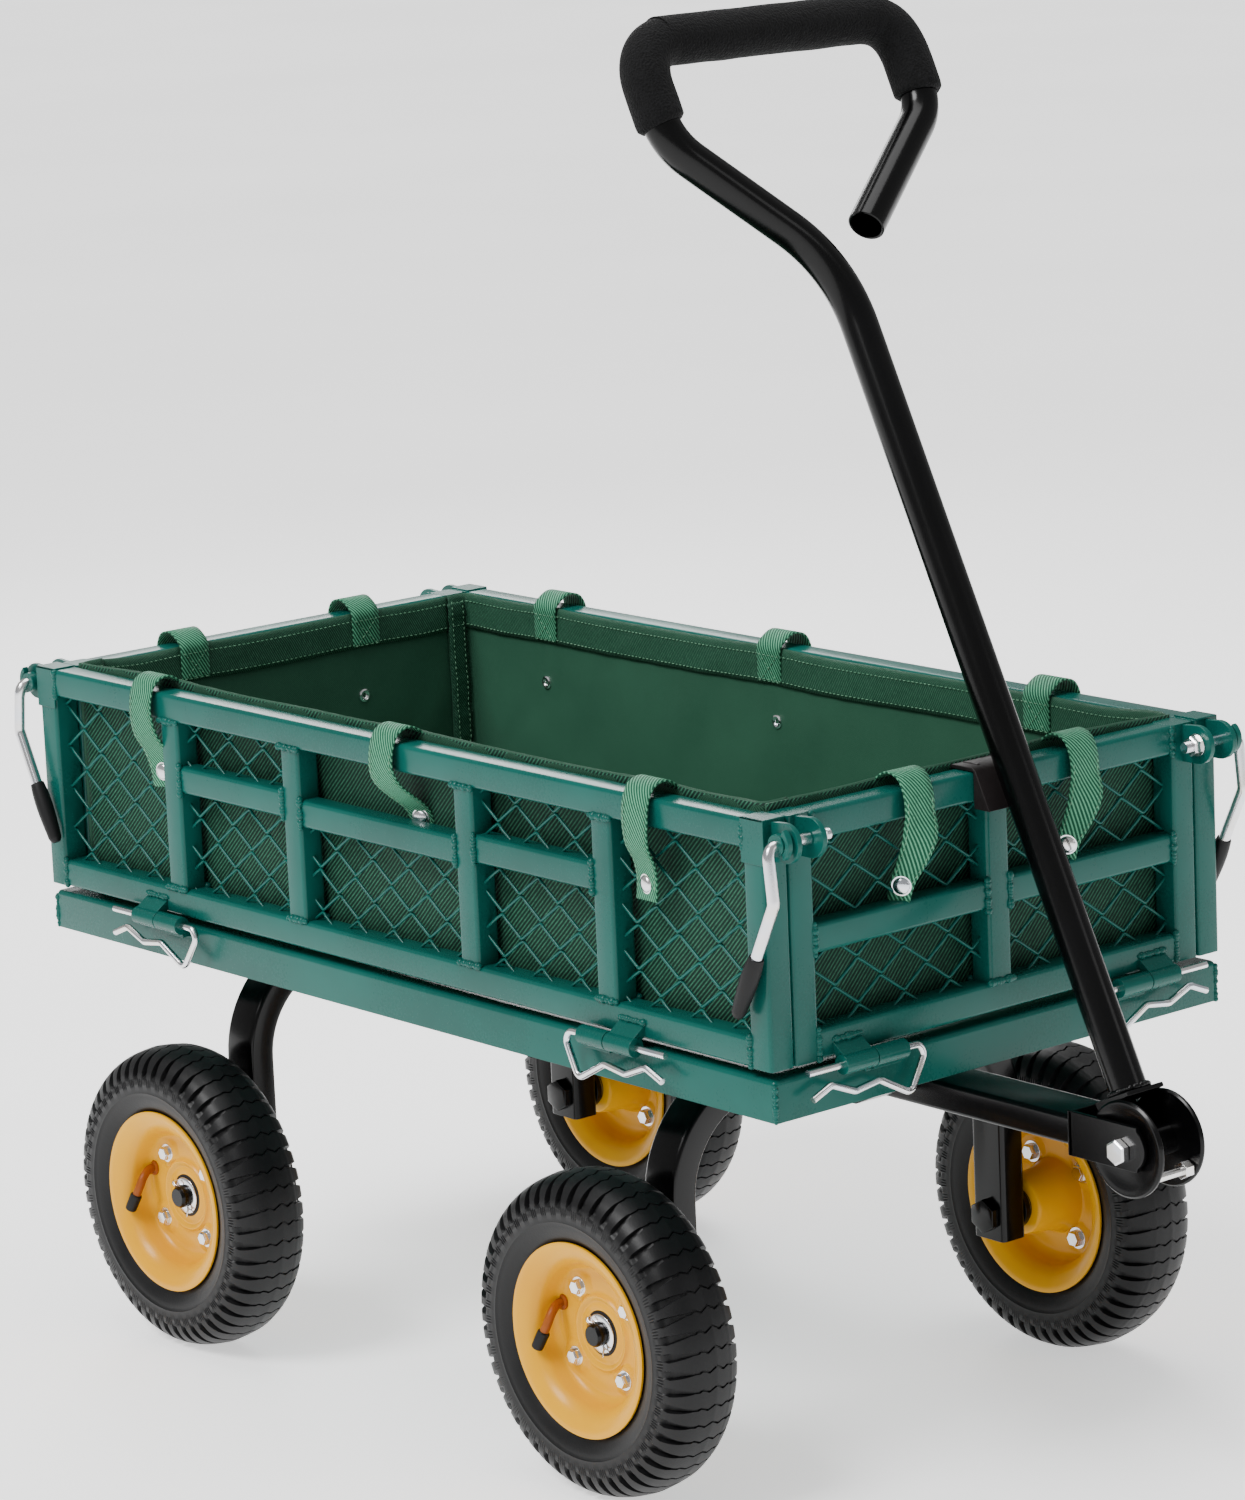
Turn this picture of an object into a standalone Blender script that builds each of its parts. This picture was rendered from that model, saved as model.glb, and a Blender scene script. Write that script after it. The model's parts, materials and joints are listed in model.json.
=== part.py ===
"""Garden cart: steel tray on four wheels, four fold-down mesh sides, a cloth
liner and a pull handle. Metres, +X towards the handle, +Z up."""

import math

import bmesh
import bpy
from mathutils import Matrix, Vector

GAP = 0.0003
ADD = "UNION"
CUT = "DIFFERENCE"

# Tray and panels, measured from the middle of the bed.
PANEL_L = 0.797
PANEL_W = 0.405
PANEL_BASE = 0.315
PANEL_TOP = 0.477
TUBE = 0.020
SKIRT_L = 0.796
SKIRT_W = 0.400
SKIRT_BASE = 0.281
SKIRT_TOP = 0.309
SHEET = 0.0025
WIRE = 0.003
SIDE_POSTS = (-0.2385, -0.096, 0.096, 0.2385)
OUTER_MID_RAIL = 0.4155
CENTRE_MID_RAIL = 0.4115
END_MID_RAIL = 0.3935

# Hinges between the tray and each panel.
BARREL_R = 0.0065
BARREL_HALF = 0.027
HINGE_Z = 0.3115
HINGE_OFF = 0.0085
SIDE_HINGE_X = 0.250
END_HINGE_Y = 0.124
PIN_R = 0.0025

# Corner latches.
LUG_R = 0.013
LUG_T = 0.004
LATCH_OUT = 0.013
LATCH_Z = 0.464
INNER_LUG_Y = 0.1735
OUTER_LUG_Y = 0.1945
LEVER_Y = 0.2105
LEVER_END_Y = 0.1815  # clear of the liner when the rear side folds
ROD_R = 0.004

# Running gear.
TYRE_R = 0.110
WHEEL_Y = 0.209
REAR_AXLE_X = -0.234
FRONT_AXLE_X = 0.232
LEG_Y = 0.150
LEG_W = 0.022
LEG_D = 0.030
LEG_BASE = 0.092
ARCH_R = 0.080
REAR_ARCH_TOP = 0.2805
FRONT_ARCH_TOP = 0.2680

# Tongue and handle.
TONGUE_W = 0.040
TONGUE_H = 0.020
TONGUE_Z = 0.2530
YOKE_BACK = 0.480
PIVOT_X = 0.5265
PIVOT_Z = 0.2500
DISC_R = 0.032
SHAFT_R = 0.0125
FOAM_R = 0.0165
LEAN = math.radians(25.8)

# The handle tube in its own plane: (side, distance up from the pivot, bend radius).
HANDLE_BENDS = [
    (0.000, 0.0338, 0.000),
    (0.000, 0.6030, 0.100),
    (-0.106, 0.7000, 0.045),
    (-0.106, 0.7690, 0.038),
    (0.121, 0.7690, 0.038),
    (0.121, 0.7020, 0.038),
    (0.035, 0.6270, 0.000),
]
GRIP_LOW = 0.712

# The origin sits under the middle of the whole cart, yoke and latches included.
FRONT_END = PIVOT_X + DISC_R
REAR_END = PANEL_L / 2 + LATCH_OUT + LUG_R
CENTRE_X = (FRONT_END - REAR_END) / 2

for old in list(bpy.data.objects):
    bpy.data.objects.remove(old, do_unlink=True)

cart = bpy.data.collections.new("garden_cart")
bpy.context.scene.collection.children.link(cart)
cutters = bpy.data.collections.new("cutters")
bpy.context.scene.collection.children.link(cutters)

bed = bpy.data.objects.new("bed_middle", None)
cart.objects.link(bed)
bed.location = (-CENTRE_X, 0, 0)


def paint(name, colour, rough, metal=0.0):
    mat = bpy.data.materials.new(name)
    mat.use_nodes = True
    shader = mat.node_tree.nodes["Principled BSDF"]
    shader.inputs["Base Color"].default_value = (*colour, 1)
    shader.inputs["Roughness"].default_value = rough
    shader.inputs["Metallic"].default_value = metal
    return mat


green = paint("green_paint", (0.005, 0.11, 0.09), 0.35)
black = paint("black_paint", (0.01, 0.01, 0.01), 0.3)
zinc = paint("zinc", (0.7, 0.7, 0.72), 0.25, 1.0)
yellow = paint("yellow_paint", (0.9, 0.55, 0.02), 0.35)
rubber = paint("rubber", (0.03, 0.03, 0.032), 0.7)
foam = paint("foam", (0.03, 0.03, 0.03), 0.9)
cloth = paint("liner_cloth", (0.03, 0.10, 0.06), 0.9)
plastic = paint("black_plastic", (0.04, 0.035, 0.035), 0.5)


def place(name, mesh, mat, at=(0, 0, 0), parent=bed, into=cart):
    obj = bpy.data.objects.new(name, mesh)
    into.objects.link(obj)
    obj.parent = parent
    obj.location = at
    if mat:
        mesh.materials.append(mat)
    if into is cutters:
        obj.hide_render = True
        obj.display_type = "WIRE"
    return obj


def pivot(name, at, parent=bed):
    empty = bpy.data.objects.new(name, None)
    cart.objects.link(empty)
    empty.parent = parent
    empty.location = at
    return empty


def add_box(bm, lo, hi, chamfer=0.0, along=None, segments=1):
    """A box between two corners; chamfer rounds the edges that run along one axis."""
    lo = Vector(lo)
    hi = Vector(hi)
    middle = (lo + hi) / 2
    size = hi - lo
    made = bmesh.ops.create_cube(bm, size=1.0)
    verts = made["verts"]
    for v in verts:
        v.co = Vector((v.co.x * size.x, v.co.y * size.y, v.co.z * size.z)) + middle
    if chamfer:
        edges = {e for v in verts for e in v.link_edges}
        if along is not None:
            edges = {
                e
                for e in edges
                if abs((e.verts[0].co - e.verts[1].co)[along]) > size[along] * 0.9
            }
        bmesh.ops.bevel(
            bm, geom=list(edges), offset=chamfer, segments=segments, affect="EDGES", profile=0.5
        )


def add_rod(bm, a, b, radius, sides=12, end_radius=None):
    a = Vector(a)
    b = Vector(b)
    turn = (b - a).to_track_quat("Z", "Y").to_matrix().to_4x4()
    bmesh.ops.create_cone(
        bm,
        cap_ends=True,
        segments=sides,
        radius1=radius,
        radius2=radius if end_radius is None else end_radius,
        depth=(b - a).length,
        matrix=Matrix.Translation((a + b) / 2) @ turn,
    )


def add_prism(bm, outline, axis, lo, hi):
    """A flat outline, given in the two axes other than axis, drawn out from lo to hi."""
    older = set(bm.faces)
    corners = []
    for p in outline:
        co = list(p)
        co.insert(axis, lo)
        corners.append(bm.verts.new(co))
    face = bm.faces.new(corners)
    drawn = bmesh.ops.extrude_face_region(bm, geom=[face])
    far = [v for v in drawn["geom"] if isinstance(v, bmesh.types.BMVert)]
    step = [0, 0, 0]
    step[axis] = hi - lo
    bmesh.ops.translate(bm, verts=far, vec=step)
    bmesh.ops.recalc_face_normals(bm, faces=[f for f in bm.faces if f not in older])


def mesh_of(adder):
    """The mesh that one adder makes."""
    bm = bmesh.new()
    adder(bm)
    mesh = bpy.data.meshes.new("shape")
    bm.to_mesh(mesh)
    bm.free()
    return mesh


def moved(shape, turn, at):
    """The same shape turned into place, and measured from the point at."""
    def build(bm):
        shape(bm)
        for v in bm.verts:
            v.co = turn @ v.co - at
    return build


def built(name, mat, first, steps, parent=bed):
    """A solid from one shape and then ADD and CUT steps. A shape is a function of a bmesh."""
    obj = place(name, mesh_of(first), mat, parent=parent)
    for i, (operation, shape) in enumerate(steps):
        tool = place(f"{name}_tool_{i}", mesh_of(shape), None, parent=parent, into=cutters)
        change = obj.modifiers.new(f"step_{i}", "BOOLEAN")
        change.operation = operation
        change.solver = "EXACT"
        change.object = tool
    return obj


def joined(name, mat, shapes, cuts=(), parent=bed):
    """Shapes welded into one solid, less the cuts."""
    steps = [(ADD, shape) for shape in shapes[1:]] + [(CUT, cut) for cut in cuts]
    return built(name, mat, shapes[0], steps, parent)


def box(lo, hi, chamfer=0.0, along=None, segments=1):
    return lambda bm: add_box(bm, lo, hi, chamfer, along, segments)


def rod(a, b, radius, sides=12, end_radius=None):
    return lambda bm: add_rod(bm, a, b, radius, sides, end_radius)


def prism(outline, axis, lo, hi):
    return lambda bm: add_prism(bm, outline, axis, lo, hi)


def turned(name, mat, profile, parent, at, axis_sign=1.0, steps=32):
    """A closed profile of (radius, depth) turned round the Y axis. Depth runs outwards."""
    spots = [(r, depth * axis_sign) for r, depth in profile]
    area = sum(a[0] * b[1] - b[0] * a[1] for a, b in zip(spots, spots[1:] + spots[:1]))
    if area > 0:
        spots.reverse()
    bm = bmesh.new()
    verts = [bm.verts.new((r, depth, 0)) for r, depth in spots]
    count = len(verts)
    for i in range(count):
        bm.edges.new((verts[i], verts[(i + 1) % count]))
    mesh = bpy.data.meshes.new(name)
    bm.to_mesh(mesh)
    bm.free()
    obj = place(name, mesh, mat, at, parent)
    screw = obj.modifiers.new("turn", "SCREW")
    screw.axis = "Y"
    screw.steps = steps
    screw.render_steps = steps
    screw.use_merge_vertices = True
    screw.merge_threshold = 0.00005
    screw.use_normal_calculate = True
    return obj


def wire(name, mat, points, radius, parent=bed, at=(0, 0, 0), resolution=2, caps=True):
    """A round wire or tube along points."""
    curve = bpy.data.curves.new(name, "CURVE")
    curve.dimensions = "3D"
    curve.bevel_depth = radius
    curve.bevel_resolution = resolution
    curve.use_fill_caps = caps
    spline = curve.splines.new("POLY")
    spline.points.add(len(points) - 1)
    for point, co in zip(spline.points, points):
        point.co = (*co, 1)
    obj = bpy.data.objects.new(name, curve)
    cart.objects.link(obj)
    obj.parent = parent
    obj.location = at
    curve.materials.append(mat)
    return obj


def rounded(points, radii, steps=4):
    """A path through points with each inner corner turned into an arc."""
    path = [Vector(p) for p in points]
    if not isinstance(radii, list):
        radii = [radii] * len(path)
    out = [path[0]]
    for before, here, after, radius in zip(path, path[1:], path[2:], radii[1:]):
        back = before - here
        ahead = after - here
        half = back.angle(ahead) / 2
        length = min(radius / math.tan(half), 0.48 * back.length, 0.48 * ahead.length)
        start = here + back.normalized() * length
        end = here + ahead.normalized() * length
        for i in range(steps + 1):
            t = i / steps
            out.append(start * (1 - t) ** 2 + here * 2 * t * (1 - t) + end * t * t)
    out.append(path[-1])
    return out


def arc(cx, cy, radius, start, end, steps):
    angles = [math.radians(start + (end - start) * i / steps) for i in range(steps + 1)]
    return [(cx + radius * math.cos(a), cy + radius * math.sin(a)) for a in angles]


# Tray: skirt, top lip, cross bars and the tray's half of each hinge.
half_l = SKIRT_L / 2
half_w = SKIRT_W / 2
hinge_side_y = PANEL_W / 2 + HINGE_OFF
hinge_end_x = PANEL_L / 2 + HINGE_OFF

LIP = 0.022
DECK_LOW = 0.3038

skirt = box((-half_l, -half_w, SKIRT_BASE), (half_l, half_w, SKIRT_TOP), 0.004, 2, 2)
skirt_hollow = box((-half_l + SHEET, -half_w + SHEET, SKIRT_BASE - 0.01),
                   (half_l - SHEET, half_w - SHEET, SKIRT_TOP - SHEET))
lip_opening = box((-half_l + LIP, -half_w + LIP, SKIRT_BASE),
                  (half_l - LIP, half_w - LIP, SKIRT_TOP + 0.01))


def cross_bar(bm):
    for x in (REAR_AXLE_X, FRONT_AXLE_X):
        add_box(bm, (x - 0.020, -half_w + 0.001, SKIRT_BASE), (x + 0.020, half_w - 0.001, DECK_LOW - GAP))


def tray_barrels(bm):
    """Barrels on the inner side of each hinge, each on a short bracket to the skirt."""
    for sx in (-1, 1):
        for sy in (-1, 1):
            x0 = sx * (SIDE_HINGE_X - BARREL_HALF - GAP)
            x1 = sx * (SIDE_HINGE_X - GAP)
            y = sy * hinge_side_y
            add_rod(bm, (x0, y, HINGE_Z), (x1, y, HINGE_Z), BARREL_R, 12)
            y0 = sy * END_HINGE_Y - sy * (BARREL_HALF + GAP)
            y1 = sy * END_HINGE_Y - sy * GAP
            x = sx * hinge_end_x
            add_rod(bm, (x, y0, HINGE_Z), (x, y1, HINGE_Z), BARREL_R, 12)


def tray_brackets(bm):
    inset = 0.0015
    for sx in (-1, 1):
        for sy in (-1, 1):
            xs = sorted((sx * (SIDE_HINGE_X - BARREL_HALF - GAP + inset),
                         sx * (SIDE_HINGE_X - GAP - inset)))
            ys = sorted((sy * (half_w - 0.001), sy * (hinge_side_y - 0.002)))
            add_box(bm, (xs[0], ys[0], HINGE_Z - 0.0085), (xs[1], ys[1], HINGE_Z - 0.003))
            ys = sorted((sy * (END_HINGE_Y - BARREL_HALF - GAP + inset),
                         sy * (END_HINGE_Y - GAP - inset)))
            xs = sorted((sx * (half_l - 0.001), sx * (hinge_end_x - 0.002)))
            add_box(bm, (xs[0], ys[0], HINGE_Z - 0.0085), (xs[1], ys[1], HINGE_Z - 0.003))


def pin_bores(bm):
    for s in (-1, 1):
        y = s * hinge_side_y
        for c in (-1, 1):
            x = c * SIDE_HINGE_X
            add_rod(bm, (x - 0.045, y, HINGE_Z), (x + 0.045, y, HINGE_Z), PIN_R + 0.0004, 12)
        x = s * hinge_end_x
        for c in (-1, 1):
            y = c * END_HINGE_Y
            add_rod(bm, (x, y - 0.045, HINGE_Z), (x, y + 0.045, HINGE_Z), PIN_R + 0.0004, 12)


built("tray", green, skirt, [
    (CUT, skirt_hollow),
    (CUT, lip_opening),
    (ADD, cross_bar),
    (ADD, tray_barrels),
    (ADD, tray_brackets),
    (CUT, pin_bores),
])
place(
    "deck",
    mesh_of(box((-half_l + SHEET + GAP, -half_w + SHEET + GAP, DECK_LOW),
                (half_l - SHEET - GAP, half_w - SHEET - GAP, SKIRT_TOP - SHEET - GAP))),
    green,
)


# Panels. Each is drawn for the side that faces -Y and turned into place.
def panel(name, hinge, turn, length, posts, mid_rails, meshed, hinges, lugs, holes=()):
    """A tube frame standing on its base line, outer face at local y = 0, depth inwards."""
    half = length / 2
    corner = 0.003
    trim = 0.0003

    def end_posts(bm):
        for x in (-half, half - TUBE):
            add_box(bm, (x, 0, PANEL_BASE), (x + TUBE, TUBE, PANEL_TOP), corner, 2)

    def long_rails(bm):
        for z in (PANEL_BASE, PANEL_TOP - TUBE):
            add_box(bm, (-half + 0.005, trim, z + trim),
                    (half - 0.005, TUBE - trim, z + TUBE - trim), corner, 0)

    def inner_posts(bm):
        for x in posts:
            add_box(bm, (x - TUBE / 2, 2 * trim, PANEL_BASE + 0.005),
                    (x + TUBE / 2, TUBE - 2 * trim, PANEL_TOP - 0.005), corner, 2)

    def middle_rails(bm):
        for x0, x1, z in mid_rails:
            add_box(bm, (x0 + 0.003, 3 * trim, z - TUBE / 2 + trim),
                    (x1 - 0.003, TUBE - 3 * trim, z + TUBE / 2 - trim), corner, 0)

    def mesh_sheets(bm):
        for x0, x1, z0, z1 in meshed:
            add_box(bm, (x0, TUBE / 2 - WIRE / 2, z0), (x1, TUBE / 2 + WIRE / 2, z1))

    def barrels(bm):
        for x in hinges:
            side = 1 if x > 0 else -1
            add_rod(bm, (x + side * GAP, -HINGE_OFF, HINGE_Z),
                    (x + side * (BARREL_HALF + GAP), -HINGE_OFF, HINGE_Z), BARREL_R, 12)

    def brackets(bm):
        """A strip from each barrel up to the bottom rail."""
        outline = [
            (-HINGE_OFF - 0.001, HINGE_Z + 0.003),
            (-HINGE_OFF + 0.003, HINGE_Z + 0.002),
            (0.0012, PANEL_BASE + 0.0048),
            (0.0012, PANEL_BASE + 0.0098),
            (-HINGE_OFF - 0.001, HINGE_Z + 0.0062),
        ]
        for x in hinges:
            side = 1 if x > 0 else -1
            ends = sorted((x + side * (GAP + 0.0015), x + side * (BARREL_HALF + GAP - 0.0015)))
            add_prism(bm, outline, 0, *ends)

    def bores(bm):
        for x in hinges:
            add_rod(bm, (x - 0.045, -HINGE_OFF, HINGE_Z), (x + 0.045, -HINGE_OFF, HINGE_Z),
                    PIN_R + 0.0004, 12)

    shapes = [end_posts, long_rails, inner_posts, middle_rails, mesh_sheets, barrels, brackets, lugs]
    at = hinge.location.copy()
    joined(name, green, [moved(shape, turn, at) for shape in shapes],
           [moved(cut, turn, at) for cut in (bores, *holes)], hinge)


def mesh_cells(half, posts, mid_rails, open_cell=None):
    """The free areas between the tubes, each a little into the tubes round it."""
    lap = 0.002
    edges = [-half + TUBE / 2, *posts, half - TUBE / 2]
    cells = []
    for x0, x1 in zip(edges, edges[1:]):
        lo = x0 + TUBE / 2 - lap
        hi = x1 - TUBE / 2 + lap
        levels = [z for a, b, z in mid_rails if a < (lo + hi) / 2 < b]
        bands = [PANEL_BASE + TUBE / 2, *levels, PANEL_TOP - TUBE / 2]
        for i, (z0, z1) in enumerate(zip(bands, bands[1:])):
            if open_cell is not None and lo < open_cell < hi and i == len(bands) - 2:
                continue
            cells.append((lo, hi, z0 + TUBE / 2 - lap, z1 - TUBE / 2 + lap))
    return cells


side_rails = [
    (SIDE_POSTS[0], SIDE_POSTS[1], OUTER_MID_RAIL),
    (SIDE_POSTS[1], SIDE_POSTS[2], CENTRE_MID_RAIL),
    (SIDE_POSTS[2], SIDE_POSTS[3], OUTER_MID_RAIL),
]
side_cells = mesh_cells(PANEL_L / 2, SIDE_POSTS, side_rails, 0.0)
end_len = PANEL_W - 2 * TUBE - 0.002
end_rails = [(-end_len / 2 + 0.01, end_len / 2 - 0.01, END_MID_RAIL)]
end_cells = mesh_cells(end_len / 2, (0.0,), end_rails)


def outer_lugs(bm):
    """Lugs on the two ends of a side panel, standing out along X."""
    for s in (-1, 1):
        face = s * PANEL_L / 2
        centre = face + s * LATCH_OUT
        outline = [(face - s * 0.002, LATCH_Z - LUG_R)]
        ring = arc(0, LATCH_Z, LUG_R, -90, 90, 8)
        outline += [(centre + s * px, pz) for px, pz in ring]
        outline += [(face - s * 0.002, LATCH_Z + LUG_R - 0.001)]
        depth = PANEL_W / 2 - OUTER_LUG_Y
        add_prism(bm, outline, 1, depth - LUG_T / 2, depth + LUG_T / 2)


def inner_lugs(bm):
    """Lugs on the outer face of an end panel, near its two ends."""
    for s in (-1, 1):
        y = s * INNER_LUG_Y
        outline = [(0.002, LATCH_Z - LUG_R)]
        ring = arc(0, LATCH_Z, LUG_R, -90, 90, 8)
        outline += [(-LATCH_OUT - px, pz) for px, pz in ring]
        outline += [(0.002, LATCH_Z + LUG_R - 0.001)]
        # The outline is in (depth, height) and is drawn out along the panel.
        add_prism(bm, outline, 0, y - LUG_T / 2, y + LUG_T / 2)


def outer_lug_holes(bm):
    for s in (-1, 1):
        x = s * (PANEL_L / 2 + LATCH_OUT)
        depth = PANEL_W / 2 - OUTER_LUG_Y
        add_rod(bm, (x, depth - 0.01, LATCH_Z), (x, depth + 0.01, LATCH_Z), ROD_R + 0.0004, 16)


left_turn = Matrix.Translation((0, -PANEL_W / 2, 0))
right_turn = Matrix.Rotation(math.pi, 4, "Z") @ Matrix.Translation((0, -PANEL_W / 2, 0))
front_turn = Matrix.Rotation(math.pi / 2, 4, "Z") @ Matrix.Translation((0, -PANEL_L / 2, 0))
rear_turn = Matrix.Rotation(-math.pi / 2, 4, "Z") @ Matrix.Translation((0, -PANEL_L / 2, 0))

left_hinge = pivot("left_panel_hinge", (0, -hinge_side_y, HINGE_Z))
right_hinge = pivot("right_panel_hinge", (0, hinge_side_y, HINGE_Z))
rear_hinge = pivot("rear_panel_hinge", (-hinge_end_x, 0, HINGE_Z))
front_hinge = pivot("front_panel_hinge", (hinge_end_x, 0, HINGE_Z))

side_hinges = (-SIDE_HINGE_X, SIDE_HINGE_X)
end_hinges = (-END_HINGE_Y, END_HINGE_Y)
for side, hinge, turn in (("left", left_hinge, left_turn), ("right", right_hinge, right_turn)):
    panel(f"{side}_panel", hinge, turn, PANEL_L, SIDE_POSTS, side_rails, side_cells,
          side_hinges, outer_lugs, [outer_lug_holes])
for side, hinge, turn in (("front", front_hinge, front_turn), ("rear", rear_hinge, rear_turn)):
    panel(f"{side}_panel", hinge, turn, end_len, (0.0,), end_rails, end_cells,
          end_hinges, inner_lugs)


# Hitch pins: a straight leg through the barrels and a waved leg under them.
def hitch_pin(name, centre, along, outward):
    """along points from the loop to the free end."""
    along = Vector(along)
    out = Vector(outward)
    down = Vector((0, 0, -1))
    loop = -0.040
    path = rounded(
        [
            along * 0.056,
            along * loop,
            along * (loop - 0.004) + down * 0.007,
            along * (loop + 0.010) + down * 0.030 + out * 0.002,
            along * (loop + 0.037) + down * 0.0155 + out * 0.002,
            along * (loop + 0.058) + down * 0.0185 + out * 0.002,
            along * (loop + 0.078) + down * 0.0105 + out * 0.002,
            along * (loop + 0.094) + down * 0.0170 + out * 0.002,
        ],
        0.006,
        2,
    )
    wire(name, zinc, path, PIN_R, bed, centre, 1)


for sx, end in ((1, "front"), (-1, "rear")):
    for sy, side in ((-1, "left"), (1, "right")):
        hitch_pin(f"hitch_pin_{side}_{end}", (sx * SIDE_HINGE_X, sy * hinge_side_y, HINGE_Z),
                  (sx, 0, 0), (0, sy, 0))
        hitch_pin(f"hitch_pin_{end}_{side}", (sx * hinge_end_x, sy * END_HINGE_Y, HINGE_Z),
                  (0, sy, 0), (sx, 0, 0))


# Corner latch levers, each on the side panel that it locks.
for sx, end in ((1, "front"), (-1, "rear")):
    for sy, side, hinge in ((-1, "left", left_hinge), (1, "right", right_hinge)):
        x = sx * (PANEL_L / 2 + LATCH_OUT)
        turn_point = pivot(f"latch_{end}_{side}",
                           (x, sy * LEVER_Y - hinge.location.y, LATCH_Z - HINGE_Z), hinge)
        knee = Vector((sx * 0.004, 0, -0.036))
        tip = Vector((-sx * 0.0345, 0, -0.114))
        drop = (tip - knee).normalized()
        rod_end = tip - drop * 0.0170
        sleeve_top = knee + drop * 0.0410
        run = rounded(
            [
                (0, -sy * (LEVER_Y - LEVER_END_Y), 0),
                (0, 0, 0),
                knee,
                rod_end,
            ],
            0.008,
        )
        wire(f"lever_{end}_{side}", zinc, run, ROD_R, turn_point)
        joined(
            f"lever_grip_{end}_{side}",
            rubber,
            [rod(sleeve_top, sleeve_top + drop * 0.046, 0.0062, 14)],
            [rod(sleeve_top - drop * 0.002, rod_end + drop * 0.0008, ROD_R + 0.00035, 14)],
            turn_point,
        )


# Liner: a floor on the tray and a wall on each panel, with its straps sewn to it.
STRAP_W = 0.025
STRAP_T = 0.0018
STRAP_RISE = 0.0065
STRAP_OUT = 0.0045
STRAP_DROP = 0.062


def strap_loop(bm, x):
    """A webbing strap from the wall's hem over the top rail and down its outer face."""
    line = [
        (TUBE + 0.0030, PANEL_TOP - 0.022),
        (TUBE + 0.0030, PANEL_TOP - 0.002),
        (TUBE * 0.86, PANEL_TOP + STRAP_RISE * 0.8),
        (TUBE * 0.45, PANEL_TOP + STRAP_RISE),
        (0.002, PANEL_TOP + STRAP_RISE * 0.75),
        (-STRAP_OUT, PANEL_TOP - 0.006),
        (-STRAP_OUT, PANEL_TOP - STRAP_DROP),
    ]
    inner = []
    for i, p in enumerate(line):
        before = Vector(line[max(i - 1, 0)])
        after = Vector(line[min(i + 1, len(line) - 1)])
        d = (after - before).normalized()
        normal = Vector((-d.y, d.x))
        inner.append(tuple(Vector(p) + normal * STRAP_T))
    add_prism(bm, line + inner[::-1], 0, x - STRAP_W / 2, x + STRAP_W / 2)


def liner_wall(name, hinge, turn, half, straps):
    wall_out = TUBE + 0.0012
    wall_in = wall_out + 0.0025
    wall = box((-half, wall_out, LINER_BASE), (half, wall_in, PANEL_TOP - 0.004))
    hem = box((-half + 0.0006, wall_out - 0.0006, PANEL_TOP - 0.012),
              (half - 0.0006, wall_in + 0.0014, PANEL_TOP - 0.0045))
    loops = [lambda bm, x=x: strap_loop(bm, x) for x in straps]
    at = hinge.location.copy()
    joined(name, cloth, [moved(shape, turn, at) for shape in (wall, hem, *loops)], (), hinge)


LINER_BASE = 0.3125
side_half = PANEL_L / 2 - TUBE - 0.0062
end_half = end_len / 2 - 0.0004
liner_wall("liner_left", left_hinge, left_turn, side_half, (-0.262, 0.018, 0.282))
liner_wall("liner_right", right_hinge, right_turn, side_half, (-0.255, 0.020, 0.275))
liner_wall("liner_front", front_hinge, front_turn, end_half - 0.0005, (-0.074, 0.074))
liner_wall("liner_rear", rear_hinge, rear_turn, end_half - 0.0005, (-0.080, 0.080))
place(
    "liner_floor",
    mesh_of(box((-PANEL_L / 2 + TUBE + 0.006, -PANEL_W / 2 + TUBE + 0.006, SKIRT_TOP + GAP),
                (PANEL_L / 2 - TUBE - 0.006, PANEL_W / 2 - TUBE - 0.006, LINER_BASE - 0.001))),
    cloth,
)


# Handle clip on the front top rail, its front sloped to lie behind the shaft.
def shaft_x(z):
    return PIVOT_X - (z - PIVOT_Z) * math.tan(LEAN)


rail_front = PANEL_L / 2
rail_back = rail_front - TUBE
behind = SHAFT_R / math.cos(LEAN) + 0.0016
clip_low = PANEL_TOP - 0.024
clip_high = PANEL_TOP + 0.0030
clip_outline = [
    (rail_back - 0.0010, PANEL_TOP + GAP),
    (rail_front + GAP, PANEL_TOP + GAP),
    (rail_front + GAP, clip_low),
    (shaft_x(clip_low) - behind, clip_low),
    (shaft_x(clip_high) - behind, clip_high),
    (rail_back - 0.0010, clip_high),
]
place("handle_clip", mesh_of(prism(clip_outline, 1, -0.0215, 0.0215)), plastic)


# Arches: square tube, each leg dropping from a wide shoulder.
def arch(name, x, top, parent, plate):
    """A bent tube on two legs, with a flat plate welded on top."""
    out = LEG_Y + LEG_W / 2
    outer = [(out, LEG_BASE)] + arc(out - ARCH_R, top - ARCH_R, ARCH_R, 0, 90, 8)
    inner = [(out - LEG_W, LEG_BASE)] + arc(out - ARCH_R, top - ARCH_R, ARCH_R - LEG_W, 0, 90, 8)
    right = outer[::-1] + inner
    left = [(-y, z) for y, z in inner[::-1] + outer]
    bores = rod((x, -0.19, TYRE_R), (x, 0.19, TYRE_R), 0.0083, 16)
    tube = prism(right + left, 0, x - LEG_D / 2, x + LEG_D / 2)
    joined(name, black, [tube, plate], [bores], parent)


arch("rear_arch", REAR_AXLE_X, REAR_ARCH_TOP, bed,
     box((REAR_AXLE_X - 0.03, -0.055, REAR_ARCH_TOP - 0.004),
         (REAR_AXLE_X + 0.03, 0.055, REAR_ARCH_TOP - 0.0002)))

steer = pivot("king_pin_axis", (FRONT_AXLE_X, 0, 0))
plate_half = 0.045
place("swivel_plate",
      mesh_of(box((FRONT_AXLE_X - plate_half, -plate_half, 0.2769),
                  (FRONT_AXLE_X + plate_half, plate_half, SKIRT_BASE - GAP))),
      black)
arch("front_arch", 0.0, FRONT_ARCH_TOP, steer, rod((0, 0, 0.2672), (0, 0, 0.2766), 0.038, 24))

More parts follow.
